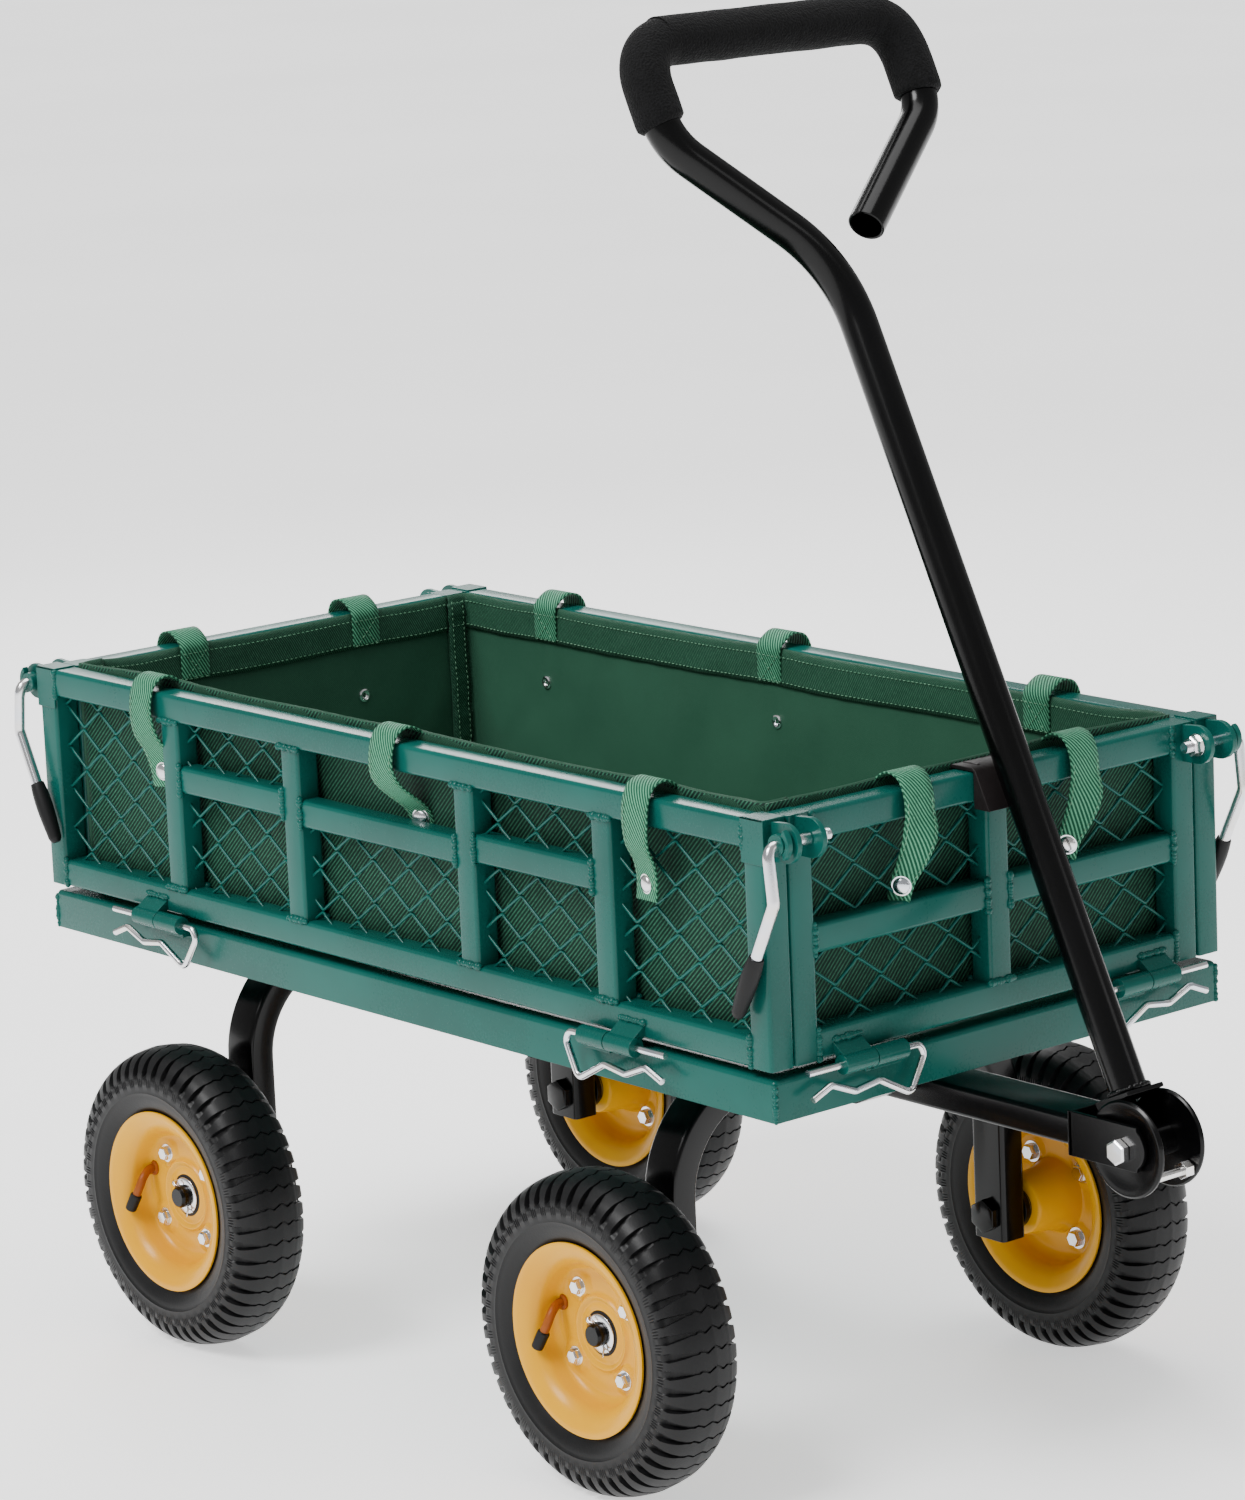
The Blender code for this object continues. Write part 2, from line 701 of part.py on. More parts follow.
tongue_back = LEG_D / 2 + GAP
tongue_front = YOKE_BACK - FRONT_AXLE_X
pivot_x = PIVOT_X - FRONT_AXLE_X
cheek_out = 0.0240
cheek_in = 0.0206
yoke_front = 0.5440 - FRONT_AXLE_X
joined(
    "tongue",
    black,
    [
        box((tongue_back, -TONGUE_W / 2, TONGUE_Z - TONGUE_H / 2),
            (tongue_front, TONGUE_W / 2, TONGUE_Z + TONGUE_H / 2), 0.0025, 0),
        box((tongue_front - 0.001, -cheek_out, TONGUE_Z - 0.015),
            (tongue_front + 0.003, cheek_out, TONGUE_Z + 0.015)),
        box((tongue_front, -cheek_out, TONGUE_Z - 0.0152),
            (yoke_front, -cheek_in, TONGUE_Z + 0.0148)),
        box((tongue_front, cheek_in, TONGUE_Z - 0.0152),
            (yoke_front, cheek_out, TONGUE_Z + 0.0148)),
        prism([(tongue_back, TONGUE_Z - 0.008), (0.075, TONGUE_Z - 0.008),
               (0.095, TONGUE_Z + 0.001), (tongue_back, TONGUE_Z + 0.001)], 1, -0.05, 0.05),
    ],
    [rod((pivot_x, -0.03, PIVOT_Z), (pivot_x, 0.03, PIVOT_Z), 0.0051, 16)],
    steer,
)

swing = pivot("handle_axis", (pivot_x, 0, PIVOT_Z), steer)
joined(
    "pivot_bolt",
    zinc,
    [
        rod((0, -0.0245, 0), (0, 0.0330, 0), 0.0048, 16),
        rod((0, -0.0300, 0), (0, -0.0243, 0), 0.0085, 6),
        rod((0, 0.0243, 0), (0, 0.0310, 0), 0.0085, 6),
    ],
    (),
    swing,
)

# Handle: shaft and loop bent from one tube, the loop in the plane of the shaft.
lean = Matrix.Rotation(-LEAN, 4, "Y")


bends = [lean @ Vector((0, side, up)) for side, up, radius in HANDLE_BENDS]
handle_path = rounded(bends, [radius for side, up, radius in HANDLE_BENDS])
wire("handle_tube", black, handle_path, SHAFT_R, swing, resolution=4)
joined(
    "hitch_bracket",
    black,
    [
        rod((0, -0.0202, 0), (0, -0.0160, 0), DISC_R, 24),
        rod((0, -0.0165, 0), (0, 0.0165, 0), 0.0110, 16),
        rod((0, 0.0160, 0), (0, 0.0202, 0), DISC_R, 24),
        prism([tuple((lean @ Vector(p)).xz) for p in (
            (-0.0155, 0, 0.0335), (-0.0155, 0, -0.006), (-0.0125, 0, -0.006),
            (-0.0125, 0, 0.0300), (0.0150, 0, 0.0300), (0.0150, 0, 0.0335))],
            1, -0.0165, 0.0165),
    ],
    [rod((0, -0.03, 0), (0, 0.03, 0), 0.0052, 16)],
    swing,
)

# The foam sleeve covers the loop above the height GRIP_LOW on both sides.
upright = lean.to_3x3() @ Vector((0, 0, 1))


def at_height(low, high):
    t = (GRIP_LOW - low.dot(upright)) / (high - low).dot(upright)
    return low.lerp(high, t)


grip_path = []
for before, here in zip(handle_path, handle_path[1:]):
    was_up = before.dot(upright) > GRIP_LOW
    is_up = here.dot(upright) > GRIP_LOW
    if was_up != is_up:
        grip_path.append(at_height(before, here))
    if is_up:
        grip_path.append(here)
grip = wire("foam_grip", foam, grip_path, FOAM_R, swing, resolution=4, caps=False)
wall = grip.modifiers.new("wall", "SOLIDIFY")
wall.thickness = FOAM_R - SHAFT_R - 0.0006
wall.offset = -1


# Wheels, and a stub axle through each leg.
tyre_profile = [
    (0.0512, -0.0148), (0.0512, 0.0148), (0.0562, 0.0200), (0.0622, 0.0234), (0.0668, 0.0240),
    (0.0800, 0.0293), (0.0910, 0.0298), (0.1010, 0.0250), (0.1080, 0.0135),
    (TYRE_R, 0.0060), (TYRE_R, -0.0060), (0.1080, -0.0135), (0.1010, -0.0250),
    (0.0910, -0.0298), (0.0800, -0.0293), (0.0668, -0.0240), (0.0622, -0.0234), (0.0562, -0.0200),
]
outer_rim = [
    (0.0135, 0.0003), (0.0135, 0.0040), (0.0215, 0.0040), (0.0250, 0.0028),
    (0.0430, 0.0028), (0.0468, 0.0066), (0.0490, 0.0165), (0.0540, 0.0222), (0.0610, 0.0258),
    (0.0640, 0.0266), (0.0660, 0.0262), (0.0660, 0.0247), (0.0617, 0.0243), (0.0552, 0.0208),
    (0.0505, 0.0155), (0.0484, 0.0060), (0.0465, 0.0003),
]
inner_rim = [
    (0.0135, -0.0003), (0.0465, -0.0003), (0.0484, -0.0060), (0.0505, -0.0155),
    (0.0552, -0.0208), (0.0617, -0.0243), (0.0660, -0.0247), (0.0660, -0.0262),
    (0.0640, -0.0266), (0.0610, -0.0258), (0.0540, -0.0222), (0.0490, -0.0165),
    (0.0468, -0.0066), (0.0430, -0.0028), (0.0270, -0.0028), (0.0240, -0.0070),
    (0.0205, -0.0405), (0.0135, -0.0405),
]


def wheel(name, parent, x, sy):
    axis = pivot(f"{name}_axis", (x, sy * WHEEL_Y, TYRE_R), parent)
    turned(f"{name}_tyre", rubber, tyre_profile, axis, (0, 0, 0), sy, 24)
    turned(f"{name}_rim_outer", yellow, outer_rim, axis, (0, 0, 0), sy, 18)
    turned(f"{name}_rim_inner", yellow, inner_rim, axis, (0, 0, 0), sy, 18)
    leg_in = LEG_Y - LEG_W / 2
    joined(
        f"{name}_axle",
        black,
        [
            rod((x, sy * (leg_in - 0.006), TYRE_R), (x, sy * 0.2215, TYRE_R), 0.0079, 16),
            rod((x, sy * (leg_in - 0.0065), TYRE_R), (x, sy * (leg_in - GAP), TYRE_R), 0.0115, 6),
            rod((x, sy * 0.1615, TYRE_R), (x, sy * 0.1675, TYRE_R), 0.0125, 16),
        ],
        (),
        parent,
    )


wheel("rear_left", bed, REAR_AXLE_X, -1)
wheel("rear_right", bed, REAR_AXLE_X, 1)
wheel("front_left", steer, 0.0, -1)
wheel("front_right", steer, 0.0, 1)

for obj in cart.objects:
    if obj.type == "MESH" and any(word in obj.name for word in ("tyre", "rim", "lever_grip", "axle")):
        obj.data.shade_smooth()
        obj.data.set_sharp_from_angle(angle=math.radians(35))
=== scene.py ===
import json
import math

import bmesh
import bpy
import numpy as np
from mathutils import Matrix, Vector, noise


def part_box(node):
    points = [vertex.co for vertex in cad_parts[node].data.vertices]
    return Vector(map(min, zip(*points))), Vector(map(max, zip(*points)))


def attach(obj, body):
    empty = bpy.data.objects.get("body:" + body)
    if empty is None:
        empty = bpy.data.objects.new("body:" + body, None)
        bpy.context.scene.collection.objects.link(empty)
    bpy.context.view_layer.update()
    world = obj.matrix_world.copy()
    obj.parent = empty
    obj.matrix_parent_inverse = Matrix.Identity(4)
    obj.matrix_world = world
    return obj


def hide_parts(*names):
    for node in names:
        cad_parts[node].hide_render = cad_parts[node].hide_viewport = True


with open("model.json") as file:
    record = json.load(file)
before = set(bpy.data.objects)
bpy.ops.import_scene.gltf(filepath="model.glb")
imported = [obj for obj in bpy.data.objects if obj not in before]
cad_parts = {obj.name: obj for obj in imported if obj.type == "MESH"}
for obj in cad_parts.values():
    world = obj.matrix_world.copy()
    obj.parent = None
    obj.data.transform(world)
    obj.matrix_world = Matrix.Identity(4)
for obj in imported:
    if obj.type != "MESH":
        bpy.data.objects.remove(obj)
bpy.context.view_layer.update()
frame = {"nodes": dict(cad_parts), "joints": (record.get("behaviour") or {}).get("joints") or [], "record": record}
joints = {joint["name"]: joint for joint in frame["joints"]}
bodies = frame["record"]["behaviour"]["bodies"]
bodyOf = {node: body for body, nodes in bodies.items() for node in nodes}
print("frame loaded:", len(frame["nodes"]), "nodes")

# the places that everything else is worked out from
hingeOff = 0.0085  # from a panel's outer face out to its hinge pins
tube = 0.020
deckLow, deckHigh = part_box("deck")
bedX = (deckLow.x + deckHigh.x) / 2
hingeZ = joints["left_side_fold"]["pos_m"][2]
panelW = 2 * (abs(joints["left_side_fold"]["pos_m"][1]) - hingeOff)
panelL = 2 * (bedX - joints["rear_side_fold"]["pos_m"][0] - hingeOff)
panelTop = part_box("front_panel")[1].z
panelBase = panelTop - 0.162
endLength = panelW - 2 * tube - 0.002
ends = (("front", 1), ("rear", -1))
sides = (("left", -1), ("right", 1))


def addNode(tree, kind, inputs=None, **settings):
    made = tree.nodes.new(kind)
    for key, value in settings.items():
        setattr(made, key, value)
    for key, value in (inputs or {}).items():
        if isinstance(value, bpy.types.NodeSocket):
            tree.links.new(value, made.inputs[key])
        else:
            made.inputs[key].default_value = value
    return made


def startMaterial(name, **sockets):
    mat = bpy.data.materials.new(name)
    mat.use_nodes = True
    tree = mat.node_tree
    shader = tree.nodes["Principled BSDF"]
    for key, value in sockets.items():
        shader.inputs[socketNames[key]].default_value = value
    return mat, tree, shader


socketNames = {
    "rough": "Roughness", "metal": "Metallic", "coat": "Coat Weight", "coatRough": "Coat Roughness",
    "sheen": "Sheen Weight", "sheenRough": "Sheen Roughness", "specular": "Specular IOR Level",
    "sheenTint": "Sheen Tint",
}


def noiseOf(tree, where, scale, detail=3.0, rough=0.55):
    return addNode(tree, "ShaderNodeTexNoise",
                   {"Vector": where, "Scale": scale, "Detail": detail, "Roughness": rough})


def rampOf(tree, value, stops):
    ramp = addNode(tree, "ShaderNodeValToRGB", {"Fac": value})
    elements = ramp.color_ramp.elements
    while len(elements) < len(stops):
        elements.new(0.5)
    for element, (at, colour) in zip(elements, stops):
        element.position = at
        element.color = (*colour, 1) if len(colour) == 3 else colour
    return ramp.outputs["Color"]


def mixOf(tree, amount, first, second, blend="MIX"):
    mix = addNode(tree, "ShaderNodeMix", data_type="RGBA", blend_type=blend)
    for socket, value in zip((mix.inputs[0], mix.inputs[6], mix.inputs[7]), (amount, first, second)):
        if isinstance(value, bpy.types.NodeSocket):
            tree.links.new(value, socket)
        else:
            socket.default_value = value if isinstance(value, float) else (*value, 1)
    return mix.outputs[2]


def spread(tree, value, low, high):
    return addNode(tree, "ShaderNodeMapRange",
                   {"Value": value, "To Min": low, "To Max": high}).outputs["Result"]


def mathOf(tree, operation, first, second=0.0):
    made = addNode(tree, "ShaderNodeMath", operation=operation)
    for socket, value in zip(made.inputs, (first, second)):
        if isinstance(value, bpy.types.NodeSocket):
            tree.links.new(value, socket)
        else:
            socket.default_value = value
    return made.outputs[0]


def bumpOf(tree, shader, height, strength, distance):
    bump = addNode(tree, "ShaderNodeBump", {"Height": height, "Strength": strength, "Distance": distance})
    tree.links.new(bump.outputs["Normal"], shader.inputs["Normal"])


def shade(r, g, b):
    return tuple(((c / 255 + 0.055) / 1.055) ** 2.4 if c > 10 else c / 255 / 12.92 for c in (r, g, b))


# powder coat and enamel: cloudy tone, faint orange peel, a few dull rubbed spots
def coatedPaint(name, deep, bright, rough, peel=0.08, rubbed=None):
    mat, tree, shader = startMaterial(name, coat=0.05, coatRough=0.08, specular=0.22)
    where = addNode(tree, "ShaderNodeTexCoord").outputs["Object"]
    cloud = noiseOf(tree, where, 9.0, 4.0).outputs["Fac"]
    fine = noiseOf(tree, where, 420.0, 2.0).outputs["Fac"]
    colour = rampOf(tree, cloud, [(0.30, deep), (0.72, bright)])
    if rubbed:
        scuff = noiseOf(tree, where, 70.0, 6.0, 0.75).outputs["Fac"]
        mask = rampOf(tree, scuff, [(0.66, (0, 0, 0)), (0.74, (1, 1, 1))])
        amount = mathOf(tree, "MULTIPLY", mask, 0.16)
        colour = mixOf(tree, amount, colour, rubbed)
    tree.links.new(colour, shader.inputs["Base Color"])
    uneven = mathOf(tree, "ADD", mathOf(tree, "MULTIPLY", cloud, 0.7), mathOf(tree, "MULTIPLY", fine, 0.3))
    tree.links.new(spread(tree, uneven, rough - 0.08, rough + 0.12), shader.inputs["Roughness"])
    bumpOf(tree, shader, fine, peel, 0.0004)
    return mat


# plated steel: light rolling marks and a faint blue to yellow tint
def platedSteel(name, tone, rough):
    mat, tree, shader = startMaterial(name, metal=1.0)
    where = addNode(tree, "ShaderNodeTexCoord").outputs["Object"]
    tint = noiseOf(tree, where, 55.0, 3.0).outputs["Fac"]
    marks = noiseOf(tree, where, 900.0, 3.0).outputs["Fac"]
    blue = tuple(c * f for c, f in zip(tone, (0.90, 0.95, 1.0)))
    warm = tuple(c * f for c, f in zip(tone, (1.0, 0.97, 0.88)))
    tree.links.new(rampOf(tree, tint, [(0.35, blue), (0.5, tone), (0.68, warm)]), shader.inputs["Base Color"])
    tree.links.new(spread(tree, tint, rough - 0.08, rough + 0.14), shader.inputs["Roughness"])
    bumpOf(tree, shader, marks, 0.10, 0.0002)
    return mat


# moulded rubber and plastic: fine grain, paler where it has been handled
def mouldedBlack(name, tone, pale, rough, grain, depth, grainSize):
    mat, tree, shader = startMaterial(name, specular=0.25)
    where = addNode(tree, "ShaderNodeTexCoord").outputs["Object"]
    cloud = noiseOf(tree, where, 22.0, 5.0, 0.65).outputs["Fac"]
    speck = noiseOf(tree, where, grainSize, 3.0).outputs["Fac"]
    tree.links.new(rampOf(tree, cloud, [(0.3, tone), (0.75, pale)]), shader.inputs["Base Color"])
    tree.links.new(spread(tree, cloud, rough - 0.1, rough + 0.1), shader.inputs["Roughness"])
    bumpOf(tree, shader, speck, grain, depth)
    return mat


# closed-cell foam: small round cells over a soft unevenness; the colour follows the same height, with painted shade in
# the hollows and paler raised rims
def foamSkin(name, tone, pale):
    mat, tree, shader = startMaterial(name, rough=0.82, sheen=0.02, sheenRough=0.5, specular=0.14)
    where = addNode(tree, "ShaderNodeTexCoord").outputs["Object"]
    cells = addNode(tree, "ShaderNodeTexVoronoi", {"Vector": where, "Scale": 620.0}).outputs["Distance"]
    soft = noiseOf(tree, where, 160.0, 4.0).outputs["Fac"]
    height = mathOf(tree, "ADD", mathOf(tree, "MULTIPLY", cells, 0.8), soft)
    # painted shade: the colour ramps with the bump height, darker in the cell hollows and low spots
    tree.links.new(rampOf(tree, height, [(0.45, tone), (1.0, pale)]), shader.inputs["Base Color"])
    bumpOf(tree, shader, height, 0.75, 0.0012)
    return mat


# woven cloth in the sheet's own width and height in metres, with raised slanting threads
def wovenCloth(name, ground, thread, pitch, lift, rough, share=0.5, slant=45.0, depth=0.0004):
    mat, tree, shader = startMaterial(name, sheen=0.04, sheenRough=0.45, specular=0.18)
    uv = addNode(tree, "ShaderNodeUVMap", uv_map="cut").outputs["UV"]
    turned = addNode(tree, "ShaderNodeMapping",
                     {"Vector": uv, "Rotation": (0.0, 0.0, math.radians(slant))}).outputs["Vector"]
    ribs = addNode(tree, "ShaderNodeTexWave", {"Vector": turned, "Scale": 0.31416 / pitch,
                                               "Distortion": 0.5, "Detail": 1.5, "Detail Scale": 60.0},
                   wave_type="BANDS", bands_direction="X").outputs["Fac"]
    across = addNode(tree, "ShaderNodeTexWave", {"Vector": turned, "Scale": 0.31416 / (pitch * 0.45)},
                     wave_type="BANDS", bands_direction="Y").outputs["Fac"]
    cloud = noiseOf(tree, uv, 14.0, 5.0, 0.6).outputs["Fac"]
    slub = noiseOf(tree, uv, 380.0, 2.0).outputs["Fac"]
    lines = rampOf(tree, ribs, [(1.0 - share, (0, 0, 0)), (1.0 - share * 0.45, (1, 1, 1))])
    amount = mathOf(tree, "MULTIPLY", lines, mathOf(tree, "MULTIPLY", slub, lift * 2.0))
    dark = tuple(c * 0.78 for c in ground)
    base = rampOf(tree, cloud, [(0.28, dark), (0.70, ground)])
    tree.links.new(mixOf(tree, amount, base, thread), shader.inputs["Base Color"])
    tree.links.new(spread(tree, cloud, rough - 0.06, rough + 0.10), shader.inputs["Roughness"])
    height = mathOf(tree, "ADD", mathOf(tree, "MULTIPLY", lines, 0.7), mathOf(tree, "MULTIPLY", across, 0.3))
    bumpOf(tree, shader, height, 0.55, depth)
    return mat


greenPaint = coatedPaint("greenPaint", shade(0, 72, 64), shade(0, 88, 79), 0.26, rubbed=shade(20, 112, 100))
blackPaint = coatedPaint("blackPaint", shade(2, 2, 2), shade(5, 5, 6), 0.20, 0.05, shade(20, 20, 21))
yellowPaint = coatedPaint("yellowPaint", shade(214, 150, 0), shade(224, 164, 0), 0.30, 0.04,
                          shade(196, 128, 0))
brightZinc = platedSteel("brightZinc", (0.80, 0.80, 0.82), 0.17)
tyreRubber = mouldedBlack("tyreRubber", shade(11, 11, 12), shade(19, 19, 20), 0.42, 0.30, 0.0003, 700.0)
gripRubber = mouldedBlack("gripRubber", shade(10, 10, 11), shade(19, 19, 20), 0.52, 0.30, 0.0003, 500.0)
clipPlastic = mouldedBlack("clipPlastic", shade(20, 16, 17), shade(32, 28, 28), 0.46, 0.45, 0.0005, 420.0)
stemRubber = mouldedBlack("stemRubber", shade(118, 58, 8), shade(160, 84, 18), 0.45, 0.2, 0.0002, 600.0)
foamBlack = foamSkin("foamBlack", shade(3, 3, 3), shade(14, 14, 15))
linerOutside = wovenCloth("linerOutside", shade(5, 38, 29), shade(56, 112, 86), 0.0026, 0.80, 0.62, 0.42)
linerInside = wovenCloth("linerInside", shade(46, 88, 68), shade(60, 106, 84), 0.0011, 0.30, 0.46, 0.5, 45.0,
                         0.00015)
hemCloth = wovenCloth("hemCloth", shade(22, 62, 46), shade(64, 112, 86), 0.0016, 0.70, 0.42, 0.5, 35.0, 0.0005)
webbing = wovenCloth("webbing", shade(16, 80, 56), shade(92, 164, 128), 0.0022, 1.15, 0.60, 0.5, 32.0, 0.0008)
stitchThread = mouldedBlack("stitchThread", shade(80, 130, 100), shade(124, 166, 138), 0.7, 0.3, 0.0002, 900.0)
print("materials made")


def makePiece(name, bm, mats, body, stands=(), sharp=35.0, bevel=0.0, fix=True):
    if fix:
        bmesh.ops.recalc_face_normals(bm, faces=bm.faces)
    mesh = bpy.data.meshes.new(name)
    bm.to_mesh(mesh)
    bm.free()
    return finishPiece(name, mesh, mats, body, stands, sharp, bevel)


def finishPiece(name, mesh, mats, body, stands=(), sharp=35.0, bevel=0.0):
    mesh.materials.clear()
    for mat in mats if isinstance(mats, (list, tuple)) else [mats]:
        mesh.materials.append(mat)
    obj = bpy.data.objects.new(name, mesh)
    bpy.context.scene.collection.objects.link(obj)
    mesh.shade_smooth()
    mesh.set_sharp_from_angle(angle=math.radians(sharp))
    if bevel:
        edge = obj.modifiers.new("edge", "BEVEL")
        edge.width = bevel
        edge.segments = 2
        edge.limit_method = "ANGLE"
        edge.angle_limit = math.radians(50)
        edge.harden_normals = True
    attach(obj, body)
    if stands:
        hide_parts(*stands)
    return obj


def moveNew(bm, before, turn):
    for v in bm.verts:
        if v not in before:
            v.co = turn @ v.co


def loopFaces(bm, rings, closed=True, capped=True):
    rows = [[bm.verts.new(p) for p in ring] for ring in rings]
    for one, two in zip(rows, rows[1:]):
        count = len(one)
        for k in range(count if closed else count - 1):
            j = (k + 1) % count
            bm.faces.new((one[k], one[j], two[j], two[k]))
    if capped:
        bm.faces.new(rows[0][::-1])
        bm.faces.new(rows[-1])
    return rows


# a bar from lo to hi with the four edges along one axis rounded
def addBar(bm, lo, hi, axis, radius=0.0026, steps=4):
    lo, hi = Vector(lo), Vector(hi)
    one, two = [k for k in range(3) if k != axis]
    rings = []
    for at in (lo[axis], hi[axis]):
        ring = []
        for corner, (cu, cv) in enumerate(((1, 1), (0, 1), (0, 0), (1, 0))):
            for i in range(steps + 1):
                angle = math.pi / 2 * (corner + i / steps)
                co = [0.0, 0.0, 0.0]
                co[axis] = at
                co[one] = (hi if cu else lo)[one] + (-radius if cu else radius) + radius * math.cos(angle)
                co[two] = (hi if cv else lo)[two] + (-radius if cv else radius) + radius * math.sin(angle)
                ring.append(co)
        rings.append(ring)
    loopFaces(bm, rings)


def addBox(bm, lo, hi):
    lo, hi = Vector(lo), Vector(hi)
    size = hi - lo
    for v in bmesh.ops.create_cube(bm, size=1.0)["verts"]:
        v.co = Vector((v.co.x * size.x, v.co.y * size.y, v.co.z * size.z)) + (lo + hi) / 2


def addRod(bm, a, b, radius, count=24, radius2=None):
    a, b = Vector(a), Vector(b)
    turn = (b - a).to_track_quat("Z", "Y").to_matrix().to_4x4()
    bmesh.ops.create_cone(bm, cap_ends=True, segments=count, radius1=radius,
                          radius2=radius if radius2 is None else radius2, depth=(b - a).length,
                          matrix=Matrix.Translation((a + b) / 2) @ turn)


# a flat outline in the two axes other than axis, drawn from lo to hi
def addPrism(bm, outline, axis, lo, hi):
    rings = []
    for depth in (lo, hi):
        ring = []
        for p in outline:
            co = list(p)
            co.insert(axis, depth)
            ring.append(co)
        rings.append(ring)
    loopFaces(bm, rings)


def arcPoints(cx, cy, radius, start, end, steps):
    turns = [math.radians(start + (end - start) * i / steps) for i in range(steps + 1)]
    return [(cx + radius * math.cos(a), cy + radius * math.sin(a)) for a in turns]


def bentPath(points, radii, steps=8):
    path = [Vector(p) for p in points]
    if not isinstance(radii, list):
        radii = [radii] * len(path)
    out = [path[0]]
    for before, here, after, radius in zip(path, path[1:], path[2:], radii[1:]):
        back, ahead = before - here, after - here
        half = back.angle(ahead) / 2
        length = min(radius / math.tan(half), 0.48 * back.length, 0.48 * ahead.length)
        start = here + back.normalized() * length
        end = here + ahead.normalized() * length
        for i in range(steps + 1):
            t = i / steps
            out.append(start * (1 - t) ** 2 + here * 2 * t * (1 - t) + end * t * t)
    out.append(path[-1])
    return out


def smoothPath(points, count):
    pts = np.array([list(p) for p in points], float)
    padded = np.vstack([2 * pts[0] - pts[1], pts, 2 * pts[-1] - pts[-2]])
    fine = []
    for i in range(len(pts) - 1):
        p0, p1, p2, p3 = padded[i:i + 4]
        for t in np.linspace(0, 1, 24, endpoint=False):
            fine.append(0.5 * (2 * p1 + (p2 - p0) * t + (2 * p0 - 5 * p1 + 4 * p2 - p3) * t * t
                               + (3 * p1 - p0 - 3 * p2 + p3) * t ** 3))
    fine.append(pts[-1])
    fine = np.array(fine)
    along = np.concatenate([[0], np.cumsum(np.linalg.norm(np.diff(fine, axis=0), axis=1))])
    at = np.linspace(0, along[-1], count)
    return np.stack([np.interp(at, along, fine[:, k]) for k in range(fine.shape[1])], axis=1)


# frames that follow a path without twisting
def pathFrames(path, start=None):
    path = [Vector(p) for p in path]
    out = []
    normal = None
    for i, here in enumerate(path):
        forward = (path[min(i + 1, len(path) - 1)] - path[max(i - 1, 0)]).normalized()
        if normal is None:
            normal = Vector(start) if start else forward.orthogonal()
        normal = (normal - forward * normal.dot(forward)).normalized()
        out.append((here, forward, normal, forward.cross(normal)))
    return out


def addSweep(bm, path, radius, count=20, start=None, capped=True):
    rings = []
    frames = pathFrames(path, start)
    for i, (here, _, u, w) in enumerate(frames):
        r = radius(i / (len(frames) - 1)) if callable(radius) else radius
        rings.append([here + (u * math.cos(a) + w * math.sin(a)) * r
                      for a in (2 * math.pi * k / count for k in range(count))])
    return loopFaces(bm, rings, capped=capped)


# a flat section (u, w) carried along a path
def addSectionSweep(bm, path, section, start):
    rings = [[here + u * p[0] + w * p[1] for p in section] for here, _, u, w in pathFrames(path, start)]
    loopFaces(bm, rings)


# a closed outline of (radius, depth) turned about the Y axis through centre; depth runs outwards
def addTurned(bm, outline, centre, out, steps=72, push=None):
    centre = Vector(centre)
    rings = []
    for k in range(steps):
        a = 2 * math.pi * k / steps
        ring = []
        for r, depth in outline:
            if push:
                depth += push(r, a, depth)
            ring.append(centre + Vector((r * math.cos(a), depth * out, r * math.sin(a))))
        rings.append(ring)
    rows = [[bm.verts.new(p) for p in ring] for ring in rings]
    count = len(outline)
    for i in range(steps):
        one, two = rows[i], rows[(i + 1) % steps]
        for k in range(count):
            j = (k + 1) % count
            bm.faces.new((one[k], one[j], two[j], two[k]))


def addHex(bm, a, b, radius, chamfer=0.0008):
    a, b = Vector(a), Vector(b)
    step = (b - a).normalized() * chamfer
    addRod(bm, a, b - step, radius, 6)
    addRod(bm, b - step * 1.02, b, radius * 0.98, 6, radius * 0.84)


def addDome(bm, centre, out, radius, height, count=24, rows=5):
    centre, out = Vector(centre), Vector(out).normalized()
    u = out.orthogonal().normalized()
    w = out.cross(u)
    rings = []
    for i in range(rows + 1):
        a = math.pi / 2 * i / rows * 0.97
        rings.append([centre + out * height * math.sin(a) + (u * math.cos(t) + w * math.sin(t))
                      * radius * math.cos(a) for t in (2 * math.pi * k / count for k in range(count))])
    loopFaces(bm, rings)


def newTree(name, sockets):
    tree = bpy.data.node_groups.new(name, "GeometryNodeTree")
    tree.interface.new_socket("Geometry", in_out="INPUT", socket_type="NodeSocketGeometry")
    for label, kind in sockets:
        tree.interface.new_socket(label, in_out="INPUT", socket_type=f"NodeSocket{kind}")
    tree.interface.new_socket("Geometry", in_out="OUTPUT", socket_type="NodeSocketGeometry")
    return tree, tree.nodes.new("NodeGroupInput"), tree.nodes.new("NodeGroupOutput")


def closeTree(tree, given, result, geometry):
    real = addNode(tree, "GeometryNodeRealizeInstances", {"Geometry": geometry})
    dressed = addNode(tree, "GeometryNodeSetMaterial",
                      {"Geometry": real.outputs["Geometry"], "Material": given.outputs["Material"]})
    tree.links.new(dressed.outputs["Geometry"], result.inputs["Geometry"])


# the seed geometry goes through the tree and comes back as a plain mesh
def growMesh(name, points, edges, tree, values):
    seedMesh = bpy.data.meshes.new(name)
    seedMesh.from_pydata([tuple(p) for p in points], edges, [])
    obj = bpy.data.objects.new(f"{name}Seed", seedMesh)
    bpy.context.scene.collection.objects.link(obj)
    grower = obj.modifiers.new("grow", "NODES")
    grower.node_group = tree
    for item in tree.interface.items_tree:
        if item.in_out == "INPUT" and item.name in values:
            grower[item.identifier] = values[item.name]
    graph = bpy.context.evaluated_depsgraph_get()
    grown = bpy.data.meshes.new_from_object(obj.evaluated_get(graph))
    bpy.data.objects.remove(obj)
    return grown


